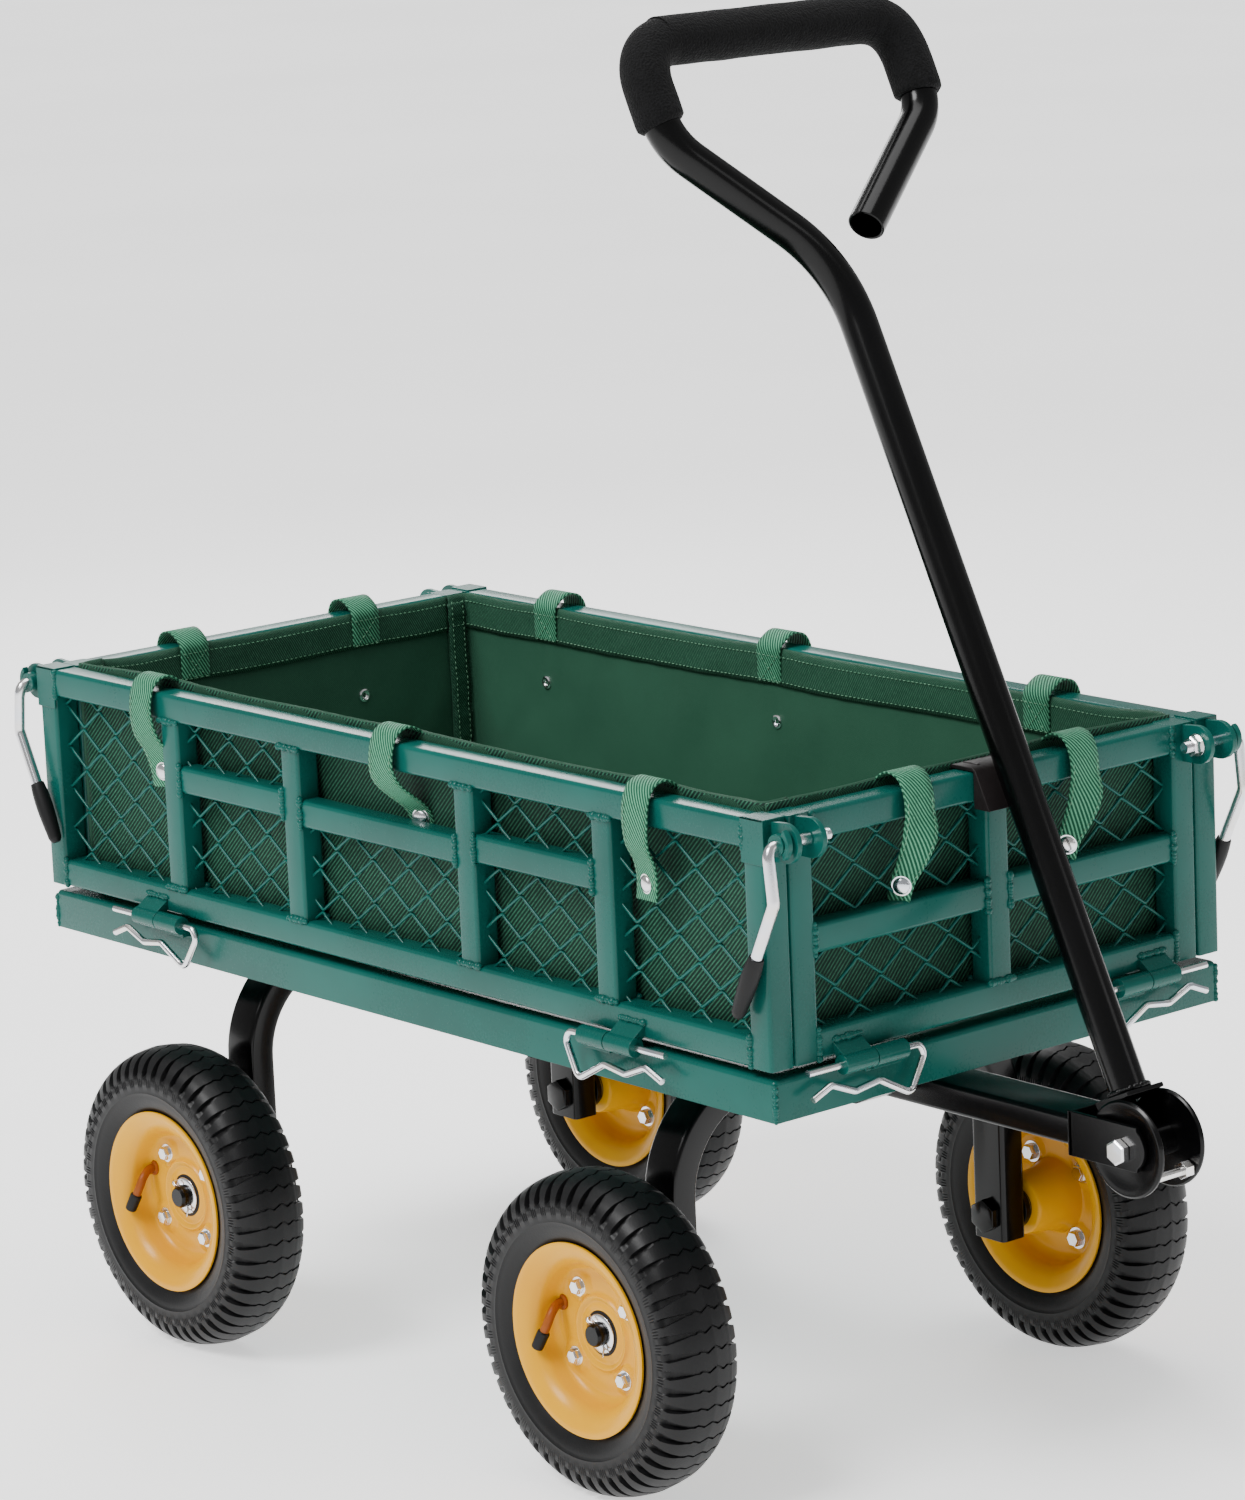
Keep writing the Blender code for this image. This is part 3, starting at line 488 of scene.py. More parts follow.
# round wires along edges
def makeWireTree():
    tree, given, result = newTree("wiresAlongEdges",
                                  [("Radius", "Float"), ("Sides", "Int"), ("Material", "Material")])
    curve = addNode(tree, "GeometryNodeMeshToCurve", {"Mesh": given.outputs["Geometry"]})
    circle = addNode(tree, "GeometryNodeCurvePrimitiveCircle",
                     {"Resolution": given.outputs["Sides"], "Radius": given.outputs["Radius"]})
    skin = addNode(tree, "GeometryNodeCurveToMesh",
                   {"Curve": curve.outputs["Curve"], "Profile Curve": circle.outputs["Curve"],
                    "Fill Caps": True})
    closeTree(tree, given, result, skin.outputs["Mesh"])
    return tree


# small lumps or thread ends set along edges
def makeRunTree(name, alongTangent):
    tree, given, result = newTree(name, [("Spacing", "Float"), ("Size", "Vector"), ("Uneven", "Float"),
                                         ("Seed", "Int"), ("Material", "Material")])
    curve = addNode(tree, "GeometryNodeMeshToCurve", {"Mesh": given.outputs["Geometry"]})
    spaced = addNode(tree, "GeometryNodeResampleCurve",
                     {"Curve": curve.outputs["Curve"], "Length": given.outputs["Spacing"]}, mode="LENGTH")
    lump = addNode(tree, "GeometryNodeMeshIcoSphere", {"Radius": 1.0, "Subdivisions": 1 + (not alongTangent)})
    tangent = addNode(tree, "GeometryNodeInputTangent")
    turn = addNode(tree, "FunctionNodeAlignRotationToVector", {"Vector": tangent.outputs["Tangent"]}, axis="X")
    more = addNode(tree, "ShaderNodeMath", {0: 1.0, 1: given.outputs["Uneven"]}, operation="ADD")
    less = addNode(tree, "ShaderNodeMath", {0: 1.0, 1: given.outputs["Uneven"]}, operation="SUBTRACT")
    varied = addNode(tree, "FunctionNodeRandomValue",
                     {"Min": less.outputs[0], "Max": more.outputs[0], "Seed": given.outputs["Seed"]})
    for socket in (varied.inputs[2], varied.inputs[3]):
        source = less if socket == varied.inputs[2] else more
        tree.links.new(source.outputs[0], socket)
    scaled = addNode(tree, "ShaderNodeVectorMath",
                     {0: given.outputs["Size"], "Scale": varied.outputs[1]}, operation="SCALE")
    placed = addNode(tree, "GeometryNodeInstanceOnPoints",
                     {"Points": spaced.outputs["Curve"], "Instance": lump.outputs["Mesh"],
                      "Rotation": turn.outputs["Rotation"], "Scale": scaled.outputs["Vector"]})
    closeTree(tree, given, result, placed.outputs["Instances"])
    return tree


# a hexagon head on a washer at each point, facing one way
def makeBoltTree():
    tree, given, result = newTree("boltHeads", [("Radius", "Float"), ("Height", "Float"),
                                                ("Facing", "Vector"), ("Material", "Material")])
    head = addNode(tree, "GeometryNodeMeshCone",
                   {"Vertices": 6, "Side Segments": 1, "Radius Top": 0.86, "Radius Bottom": 1.0, "Depth": 0.3})
    body = addNode(tree, "GeometryNodeMeshCylinder", {"Vertices": 6, "Radius": 1.0, "Depth": 0.72})
    disc = addNode(tree, "GeometryNodeMeshCylinder", {"Vertices": 28, "Radius": 1.32, "Depth": 0.22})
    shapes = addNode(tree, "GeometryNodeJoinGeometry")
    lifts = ((head.outputs["Mesh"], 0.93), (body.outputs["Mesh"], 0.58), (disc.outputs["Mesh"], 0.11))
    for mesh, lift in lifts:
        moved = addNode(tree, "GeometryNodeTransform", {"Geometry": mesh, "Translation": (0.0, 0.0, lift)})
        tree.links.new(moved.outputs["Geometry"], shapes.inputs["Geometry"])
    turn = addNode(tree, "FunctionNodeAlignRotationToVector", {"Vector": given.outputs["Facing"]}, axis="Z")
    size = addNode(tree, "ShaderNodeCombineXYZ", {"X": given.outputs["Radius"], "Y": given.outputs["Radius"],
                                                  "Z": given.outputs["Height"]})
    placed = addNode(tree, "GeometryNodeInstanceOnPoints",
                     {"Points": given.outputs["Geometry"], "Instance": shapes.outputs["Geometry"],
                      "Rotation": turn.outputs["Rotation"], "Scale": size.outputs["Vector"]})
    closeTree(tree, given, result, placed.outputs["Instances"])
    return tree


wireTree = makeWireTree()
weldTree = makeRunTree("weldLumps", False)
stitchTree = makeRunTree("stitches", True)
boltTree = makeBoltTree()


def lineSet(lines):
    points, edges = [], []
    for line in lines:
        first = len(points)
        points.extend(line)
        edges.extend((first + i, first + i + 1) for i in range(len(line) - 1))
    return points, edges


weld = {"spacing": 0.0021, "size": 0.0023, "uneven": 0.32}


def makeWelds(name, lines, mat, body, size=1.0):
    points, edges = lineSet(lines)
    lump = weld["size"] * size
    mesh = growMesh(name, points, edges, weldTree,
                    {"Spacing": weld["spacing"] * size, "Size": (lump, lump, lump), "Uneven": weld["uneven"],
                     "Seed": 3, "Material": mat})
    return finishPiece(name, mesh, mat, body, sharp=180.0)


stitch = {"pitch": 0.0042, "length": 0.0015, "thick": 0.00038}


def makeStitches(name, lines, body):
    points, edges = lineSet(lines)
    mesh = growMesh(name, points, edges, stitchTree,
                    {"Spacing": stitch["pitch"], "Size": (stitch["length"], stitch["thick"], stitch["thick"]),
                     "Uneven": 0.12, "Seed": 5, "Material": stitchThread})
    return finishPiece(name, mesh, stitchThread, body, sharp=180.0)


print("helpers ready")

panelTurn = {
    "left": Matrix.Translation((bedX, -panelW / 2, 0)),
    "right": Matrix.Translation((bedX, panelW / 2, 0)) @ Matrix.Rotation(math.pi, 4, "Z"),
    "front": Matrix.Translation((bedX + panelL / 2, 0, 0)) @ Matrix.Rotation(math.pi / 2, 4, "Z"),
    "rear": Matrix.Translation((bedX - panelL / 2, 0, 0)) @ Matrix.Rotation(-math.pi / 2, 4, "Z"),
}
panelLength = {"left": panelL, "right": panelL, "front": endLength, "rear": endLength}
panel = {
    "corner": 0.0027, "wire": 0.00105, "knotWide": 0.0200, "knotHigh": 0.0154, "knotX": 0.3020, "knotZ": 0.3575,
    "barrelR": 0.0065, "barrelHalf": 0.027,
    "lugR": 0.013, "lugThick": 0.004, "latchOut": 0.013, "latchZ": panelTop - 0.013,
    "outerLugDepth": panelW / 2 - 0.1945, "innerLugY": 0.1735,
    "posts": (-0.2385, -0.096, 0.096, 0.2385), "outerRail": panelTop - 0.0615,
    "centreRail": panelTop - 0.0655, "endRail": panelTop - 0.0835,
    "sideHinge": 0.250, "endHinge": 0.124,
}


def panelLayout(side):
    half = panelLength[side] / 2
    if side in ("left", "right"):
        a, b, c, d = panel["posts"]
        rails = [(a, b, panel["outerRail"]), (b, c, panel["centreRail"]), (c, d, panel["outerRail"])]
        return half, panel["posts"], rails, (-panel["sideHinge"], panel["sideHinge"])
    rails = [(-half + 0.01, half - 0.01, panel["endRail"])]
    return half, (0.0,), rails, (-panel["endHinge"], panel["endHinge"])


def panelTubes(bm, side):
    half, posts, rails, _ = panelLayout(side)
    t, r = tube, panel["corner"]
    for x in (-half, half - t):
        addBar(bm, (x, 0, panelBase), (x + t, t, panelTop), 2, r)
    for z in (panelBase, panelTop - t):
        addBar(bm, (-half + 0.004, 0.0002, z + 0.0002), (half - 0.004, t - 0.0002, z + t - 0.0002), 0, r)
    for x in posts:
        addBar(bm, (x - t / 2, 0.0008, panelBase + 0.006), (x + t / 2, t - 0.0008, panelTop - 0.006), 2, r)
    for x0, x1, z in rails:
        addBar(bm, (x0 + 0.004, 0.0014, z - t / 2 + 0.0004), (x1 - 0.004, t - 0.0014, z + t / 2 - 0.0004), 0, r)


def panelFittings(bm, side):
    half, _, _, hinges = panelLayout(side)
    long = panel["barrelHalf"]
    for x in hinges:
        way = 1 if x > 0 else -1
        x0, x1 = x + way * 0.0003, x + way * long
        addRod(bm, (x0, -hingeOff, hingeZ), (x1, -hingeOff, hingeZ), panel["barrelR"], 24)
        lo, hi = sorted((x0 + way * 0.001, x1 - way * 0.001))
        addPrism(bm, [(-hingeOff - 0.002, hingeZ + 0.0045), (-hingeOff + 0.003, hingeZ + 0.002),
                      (0.0012, panelBase + 0.003), (0.0012, panelBase + 0.0105),
                      (-hingeOff - 0.001, hingeZ + 0.0065)], 0, lo, hi)
    z, r, out = panel["latchZ"], panel["lugR"], panel["latchOut"]
    if side in ("left", "right"):
        depth = panel["outerLugDepth"]
        for way in (-1, 1):
            outline = [(way * (half - 0.002), z - r)]
            outline += [(way * (half + out + px), pz) for px, pz in arcPoints(0, z, r, -90, 90, 14)]
            outline += [(way * (half - 0.002), z + r - 0.001)]
            addPrism(bm, outline, 1, depth - panel["lugThick"] / 2, depth + panel["lugThick"] / 2)
            # cap plate folded over the post's top, with a tongue down its end face
            x0, x1 = sorted((way * (half - tube - 0.0006), way * (half + 0.0010)))
            addBox(bm, (x0, -0.0010, panelTop - 0.0285), (x1, 0.0006, panelTop + 0.0010))
            addBox(bm, (x0, -0.0010, panelTop - 0.0006), (x1, tube * 0.9, panelTop + 0.0010))
            x0, x1 = sorted((way * (half - 0.0004), way * (half + 0.0012)))
            tab = [(-0.0010, panelTop + 0.0009), (0.0085, panelTop + 0.0009), (0.0085, panelTop - 0.020)]
            tab += [(0.00375 + px, pz) for px, pz in arcPoints(0, panelTop - 0.022, 0.0047, 0, -180, 8)]
            addPrism(bm, tab, 0, x0, x1)
    else:
        for way in (-1, 1):
            y = way * panel["innerLugY"]
            outline = [(0.002, z - r)]
            outline += [(-out - px, pz) for px, pz in arcPoints(0, z, r, -90, 90, 14)]
            outline += [(0.002, z + r - 0.001)]
            addPrism(bm, outline, 0, y - panel["lugThick"] / 2, y + panel["lugThick"] / 2)


# rows of bent wire whose peaks meet the next row's dips, cut at the frame and at the cell that stays open
def latticeLines(side):
    half = panelLayout(side)[0]
    x0, x1 = -half + tube * 0.7, half - tube * 0.7
    z0, z1 = panelBase + tube * 0.7, panelTop - tube * 0.7
    hole = None
    if side in ("left", "right"):
        hole = (panel["posts"][1], panel["posts"][2], panel["centreRail"], panelTop)
    wide, high, bend = panel["knotWide"], panel["knotHigh"], 0.0013
    lines = []
    first = math.floor((z0 - panel["knotZ"]) / high) - 1
    for row in range(first, first + int((z1 - z0) / high) + 4):
        low = panel["knotZ"] + row * high
        depth = tube / 2 + (0.0005 if row % 2 else -0.0005)
        start = math.floor((x0 - panel["knotX"]) / wide) - 1
        inside = []
        for k in range(start, start + int((x1 - x0) / wide) + 4):
            x = panel["knotX"] + k * wide
            peak = (k + row) % 2 == 1
            z = low + high - 0.0009 if peak else low + 0.0009
            slope = -bend * 0.45 if peak else bend * 0.45
            corner = [(x - bend, z + slope), (x, z + slope * 0.25), (x + bend, z + slope)]
            if k > start:
                px, pz = last
                corner = [(px + (corner[0][0] - px) * f, pz + (corner[0][1] - pz) * f)
                          for f in (0.14, 0.28, 0.42, 0.56, 0.70, 0.84)] + corner
            last = corner[-1]
            for px, pz in corner:
                free = x0 <= px <= x1 and z0 <= pz <= z1
                if hole and hole[0] < px < hole[1] and pz > hole[2]:
                    free = False
                if free:
                    inside.append((px, depth + (0.0006 if abs(px - x) < bend * 1.1 and peak else 0.0), pz))
                    continue
                if len(inside) > 1:
                    lines.append(inside)
                inside = []
        if len(inside) > 1:
            lines.append(inside)
    return lines


def weldLines(side):
    half, posts, rails, hinges = panelLayout(side)
    lines = []
    t = tube / 2
    for x in posts:
        for z in (panelBase + tube, panelTop - tube):
            lines.append([(x - t, 0.0006, z), (x + t, 0.0006, z)])
            lines.append([(x - t, tube, z), (x + t, tube, z)])
    for x0, x1, z in rails:
        for x in (x0 + t if side in ("left", "right") else x0 + t, x1 - t):
            lines.append([(x, 0.0010, z - t), (x, 0.0010, z + t)])
    if side in ("front", "rear"):
        z = rails[0][2]
        lines += [[(way * t, 0.0012, z - t), (way * t, 0.0012, z + t)] for way in (-1, 1)]
    for x in (-half + tube, half - tube):
        lines.append([(x, 0.0006, panelTop - tube), (x, 0.0006, panelTop - 0.002)])
        lines.append([(x, 0.0006, panelBase + 0.001), (x, 0.0006, panelBase + tube)])
    for x in hinges:
        way = 1 if x > 0 else -1
        lines.append([(x + way * 0.002, 0.0002, panelBase + 0.0112), (x + way * 0.025, 0.0002, panelBase + 0.0112)])
    return lines


for side, turn in panelTurn.items():
    node = f"{side}_panel"
    bm = bmesh.new()
    panelTubes(bm, side)
    panelFittings(bm, side)
    bmesh.ops.transform(bm, matrix=turn, verts=bm.verts)
    makePiece(f"{side}Frame", bm, greenPaint, bodyOf[node], [node], bevel=0.0005)
    points, edges = lineSet([[turn @ Vector(p) for p in line] for line in latticeLines(side)])
    mesh = growMesh(f"{side}Lattice", points, edges, wireTree,
                    {"Radius": panel["wire"], "Sides": 8, "Material": greenPaint})
    finishPiece(f"{side}Lattice", mesh, greenPaint, bodyOf[node], sharp=50.0)
    makeWelds(f"{side}Welds", [[turn @ Vector(p) for p in line] for line in weldLines(side)],
              greenPaint, bodyOf[node])
print("panels made")


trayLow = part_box("tray")[0]
skirt = {"length": 0.796, "width": 0.400, "low": trayLow.z, "high": 0.309, "sheet": 0.0025, "lip": 0.022,
         "bend": 0.0035, "barWide": 0.040}


def wallSection(outX, low, high, sheet, bend, lip):
    # up the outer face, over the bend, in along the lip and back under it
    outline = [(outX, low), (outX, high - bend)]
    outline += [(outX - bend + px, pz) for px, pz in arcPoints(0, high - bend, bend, 0, 90, 5)]
    outline += [(outX - lip, high), (outX - lip, high - sheet), (outX - bend, high - sheet),
                (outX - sheet, high - bend), (outX - sheet, low)]
    return outline


def makeTray():
    bm = bmesh.new()
    halfL, halfW = skirt["length"] / 2, skirt["width"] / 2
    # the four walls are one loop with mitred corners
    section = wallSection(0.0, skirt["low"], skirt["high"], skirt["sheet"], skirt["bend"], skirt["lip"])
    corners = []
    for sx, sy in ((1, -1), (1, 1), (-1, 1), (-1, -1)):
        for k in range(5):
            start = {(1, -1): -90, (1, 1): 0, (-1, 1): 90, (-1, -1): 180}[(sx, sy)]
            corners.append((sx, sy, math.radians(start + 90 * k / 4)))
    r = 0.0035
    rings = []
    for sx, sy, a in corners:
        ring = []
        for inset, z in section:
            reach = r + inset
            cx, cy = sx * (halfL - r), sy * (halfW - r)
            if reach >= 0:
                p = (cx + reach * math.cos(a), cy + reach * math.sin(a), z)
            else:
                p = (cx + sx * reach, cy + sy * reach, z)
            ring.append((p[0] + bedX, p[1], p[2]))
        rings.append(ring)
    rows = [[bm.verts.new(p) for p in ring] for ring in rings]
    for i, one in enumerate(rows):
        two = rows[(i + 1) % len(rows)]
        for k in range(len(one)):
            j = (k + 1) % len(one)
            bm.faces.new((one[k], one[j], two[j], two[k]))
    bmesh.ops.remove_doubles(bm, verts=bm.verts, dist=1e-6)
    for axle in ("wheel_rear_left_spin", "wheel_front_left_spin"):
        x = joints[axle]["pos_m"][0]
        addBox(bm, (x - skirt["barWide"] / 2, -halfW + 0.002, skirt["low"]),
               (x + skirt["barWide"] / 2, halfW - 0.002, deckLow.z - 0.0003))
    long = panel["barrelHalf"]
    lines = []
    for sx in (-1, 1):
        for sy in (-1, 1):
            for alongX in (True, False):
                at = panel["sideHinge"] if alongX else panel["endHinge"]
                way, out = (sx, sy) if alongX else (sy, sx)
                edge = panelW / 2 + hingeOff if alongX else panelL / 2 + hingeOff
                wall = halfW if alongX else halfL

                def spot(run, depth, z, alongX=alongX, way=way, out=out):
                    return (bedX + way * run, out * depth, z) if alongX else (bedX + out * depth, way * run, z)

                a, b = at - long, at - 0.0003
                addRod(bm, spot(a, edge, hingeZ), spot(b, edge, hingeZ), panel["barrelR"], 24)
                cornerA, cornerB = spot(a + 0.001, wall - 0.002, hingeZ - 0.0090), spot(b - 0.001, edge - 0.001,
                                                                                       hingeZ - 0.0040)
                lo = [min(p, q) for p, q in zip(cornerA, cornerB)]
                hi = [max(p, q) for p, q in zip(cornerA, cornerB)]
                addBox(bm, lo, hi)
                lines.append([spot(a + 0.001, wall + 0.001, hingeZ - 0.0095),
                              spot(b - 0.001, wall + 0.001, hingeZ - 0.0095)])
            lines.append([(bedX + sx * (halfL - 0.0008), sy * (halfW - 0.0008), skirt["low"] + 0.001),
                          (bedX + sx * (halfL - 0.0008), sy * (halfW - 0.0008), skirt["high"] - 0.004)])
    makePiece("traySkirt", bm, greenPaint, "chassis", ["tray"], bevel=0.0004)
    makeWelds("trayWelds", lines, greenPaint, "chassis", 0.8)


makeTray()
for slot in frame["nodes"]["deck"].material_slots:
    slot.material = greenPaint
print("tray made")


pin = {"radius": 0.0024, "bend": 0.006}


def makePin(name, centre, along, outward):
    along, out, down = Vector(along), Vector(outward), Vector((0, 0, -1))
    loop = -0.040
    route = bentPath([along * 0.056, along * loop, along * (loop - 0.004) + down * 0.007,
                      along * (loop + 0.010) + down * 0.030 + out * 0.002,
                      along * (loop + 0.037) + down * 0.0155 + out * 0.002,
                      along * (loop + 0.058) + down * 0.0185 + out * 0.002,
                      along * (loop + 0.078) + down * 0.0105 + out * 0.002,
                      along * (loop + 0.094) + down * 0.0170 + out * 0.002], pin["bend"], 7)
    bm = bmesh.new()
    addSweep(bm, [Vector(centre) + p for p in route], pin["radius"], 14)
    makePiece(f"{name}Wire", bm, brightZinc, bodyOf[name], [name], sharp=50.0)


for end, sx in ends:
    for side, sy in sides:
        makePin(f"hitch_pin_{side}_{end}", (bedX + sx * panel["sideHinge"], sy * (panelW / 2 + hingeOff), hingeZ),
                (sx, 0, 0), (0, sy, 0))
        makePin(f"hitch_pin_{end}_{side}", (bedX + sx * (panelL / 2 + hingeOff), sy * panel["endHinge"], hingeZ),
                (0, sy, 0), (sx, 0, 0))
print("hitch pins made")


latch = {"rodR": 0.0040, "leverY": 0.2105, "gripLong": 0.046, "gripR": 0.0062}


def makeLatch(end, sx, side, sy):
    body = bodyOf[f"lever_{end}_{side}"]
    x = bedX + sx * (panelL / 2 + panel["latchOut"])
    z = panel["latchZ"]
    origin = Vector((x, sy * latch["leverY"], z))
    knee, tip = Vector((sx * 0.004, 0, -0.036)), Vector((-sx * 0.0345, 0, -0.114))
    drop = (tip - knee).normalized()
    inner = latch["leverY"] - panel["innerLugY"] - panel["lugThick"] / 2 - 0.0008
    route = bentPath([(0, -sy * inner, 0), (0, 0, 0), knee, tip - drop * 0.017], 0.009, 8)
    bm = bmesh.new()
    addSweep(bm, [origin + p for p in route], latch["rodR"], 18)
    makePiece(f"lever_{end}_{side}Rod", bm, brightZinc, body, [f"lever_{end}_{side}"], sharp=50.0)
    # rubber sleeve with a thicker middle and a round tip
    top = knee + drop * 0.041
    run = [origin + top + drop * latch["gripLong"] * t for t in np.linspace(0, 1, 26)]
    bm = bmesh.new()
    addSweep(bm, run, lambda t: latch["gripR"] * (0.80 + 0.20 * math.sin(math.pi * min(t * 1.15, 1) ** 0.8)
                                                  - 0.55 * max(0, t - 0.9) ** 2 * 60), 20)
    makePiece(f"lever_grip_{end}_{side}Sleeve", bm, gripRubber, body,
              [f"lever_grip_{end}_{side}"], sharp=45.0)
    # painted cam, curved about the rod just outside the side panel's lug
    camY = sy * (0.1945 + panel["lugThick"] / 2 + 0.0045)
    outer = arcPoints(0, 0.001, 0.0150, 60, -60, 10)
    innerArc = arcPoints(0.002, 0.001, 0.0085, -62, 62, 8)
    outline = [(x + sx * px * 0.75, z + pz * 0.76) for px, pz in outer + innerArc]
    bm = bmesh.new()
    lo, hi = sorted((camY - 0.0022, camY + 0.0022))
    addPrism(bm, outline, 1, lo, hi)
    addRod(bm, (x, camY - 0.003, z), (x, camY + 0.003, z), 0.0072, 24)
    makePiece(f"latchCam_{end}_{side}", bm, greenPaint, body, bevel=0.0006)
    # nut and screwed end beyond the end panel's lug
    face = panel["innerLugY"] - panel["lugThick"] / 2
    bm = bmesh.new()
    addRod(bm, (x, sy * (face - 0.0001), z), (x, sy * (face - 0.0014), z), 0.0078, 28)
    addHex(bm, (x, sy * (face - 0.0014), z), (x, sy * (face - 0.0070), z), 0.0070)
    for k in range(5):
        y0 = face - 0.0068 - 0.0011 * k
        addRod(bm, (x, sy * y0, z), (x, sy * (y0 - 0.0006), z), 0.0036, 18, 0.0040)
        addRod(bm, (x, sy * (y0 - 0.0005), z), (x, sy * (y0 - 0.0012), z), 0.0040, 18, 0.0036)
    makePiece(f"latchNut_{end}_{side}", bm, brightZinc, "chassis" if end == "front" else "rear_side",
              bevel=0.0003)


for end, sx in ends:
    for side, sy in sides:
        makeLatch(end, sx, side, sy)
print("latches made")


arch = {"out": 0.161, "wide": 0.022, "deep": 0.030, "bend": 0.080, "low": 0.092, "corner": 0.0035}
wheelY = abs(joints["wheel_front_left_spin"]["pos_m"][1])
axleZ = joints["wheel_front_left_spin"]["pos_m"][2]


def rectSection(wide, deep, corner, steps=4):
    out = []
    for k, (cu, cv) in enumerate(((1, 1), (-1, 1), (-1, -1), (1, -1))):
        for px, py in arcPoints(0, 0, corner, 90 * k, 90 * k + 90, steps):
            out.append((cu * (wide / 2 - corner) + px, cv * (deep / 2 - corner) + py))
    return out


def makeArch(end, body):
    x = joints[f"wheel_{end}_left_spin"]["pos_m"][0]
    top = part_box(f"{end}_arch")[1].z if end == "rear" else 0.268
    mid = arch["out"] - arch["wide"] / 2
    r = arch["bend"] - arch["wide"] / 2
    half = [(mid, arch["low"])] + arcPoints(mid - r, top - arch["wide"] / 2 - r, r, 0, 90, 16)
    route = [(x, y, z) for y, z in half] + [(x, -y, z) for y, z in half[::-1]]
    bm = bmesh.new()
    addSectionSweep(bm, route, rectSection(arch["wide"], arch["deep"], arch["corner"]), (0, 1, 0))
    if end == "rear":
        addBox(bm, (x - 0.03, -0.055, top - 0.004), (x + 0.03, 0.055, top - 0.0002))
    else:
        addRod(bm, (x, 0, 0.2672), (x, 0, 0.2766), 0.038, 48)
        addRod(bm, (x, 0, top - arch["wide"] - 0.006), (x, 0, top - arch["wide"]), 0.011, 6)
    makePiece(f"{end}ArchTube", bm, blackPaint, body, [f"{end}_arch"], bevel=0.0006)
    lines = [[(x - 0.015, way * 0.054, top - 0.001), (x + 0.015, way * 0.054, top - 0.001)] for way in (-1, 1)]
    makeWelds(f"{end}ArchWelds", lines, blackPaint, body)


def makeAxle(end, side, sy):
    node = f"{end}_{side}_axle"
    body = bodyOf[node]
    x = joints[f"wheel_{end}_{side}_spin"]["pos_m"][0]
    legIn, legOut = arch["out"] - arch["wide"], arch["out"]

    def at(y):
        return (x, sy * y, axleZ)

    bm = bmesh.new()
    addRod(bm, at(legIn - 0.004), at(0.2205), 0.0079, 32)
    addRod(bm, at(0.2203), at(0.2225), 0.0079, 32, 0.0066)
    addHex(bm, at(legIn - 0.0003), at(legIn - 0.0070), 0.0122)
    addRod(bm, at(legOut + 0.0003), at(legOut + 0.0050), 0.0150, 36)
    addRod(bm, at(legOut + 0.0048), at(legOut + 0.0065), 0.0150, 36, 0.0115)
    makePiece(f"{node}Shaft", bm, blackPaint, body, [node], bevel=0.0004)
    bm = bmesh.new()
    addRod(bm, at(0.1668), at(0.1682), 0.0128, 36)
    hubFace = wheelY + 0.0048
    addTurned(bm, [(0.0081, 0.0), (0.0126, 0.0), (0.0134, 0.0004), (0.0134, 0.0012), (0.0126, 0.0017),
                   (0.0081, 0.0017)], (x, sy * hubFace, axleZ), sy, 48)
    # split pin: a ring on one side, two bent legs on the other
    pinY = hubFace + 0.0035
    centre = Vector(at(pinY))
    slant = Vector((math.cos(0.9), 0, -math.sin(0.9)))
    across = Vector((0, sy, 0))
    ring = [centre - slant * (0.0112 + 0.0026 * math.cos(a)) + across * 0.0026 * math.sin(a)
            for a in np.linspace(0.4, 2 * math.pi - 0.4, 15)]
    addSweep(bm, ring, 0.0008, 8)
    for way in (-1, 1):
        leg = [centre - slant * 0.0088, centre + slant * 0.0088, centre + slant * 0.0118 + across * way * 0.0016,
               centre + slant * (0.0150 + way * 0.001) + across * (way * 0.0030 + 0.0010)]
        addSweep(bm, smoothPath(leg, 14), 0.0007, 8)
    makePiece(f"{node}Trim", bm, brightZinc, body, bevel=0.0002)


for end, body in (("rear", "chassis"), ("front", "steering")):
    makeArch(end, body)
    for side, sy in sides:
        makeAxle(end, side, sy)

tongue = {"wide": 0.040, "high": 0.020, "z": 0.253, "corner": 0.0030, "cheekIn": 0.0206, "cheekOut": 0.0240}
pivotX, pivotZ = joints["handle_swing"]["pos_m"][0], joints["handle_swing"]["pos_m"][2]
yokeBack = pivotX - 0.0465


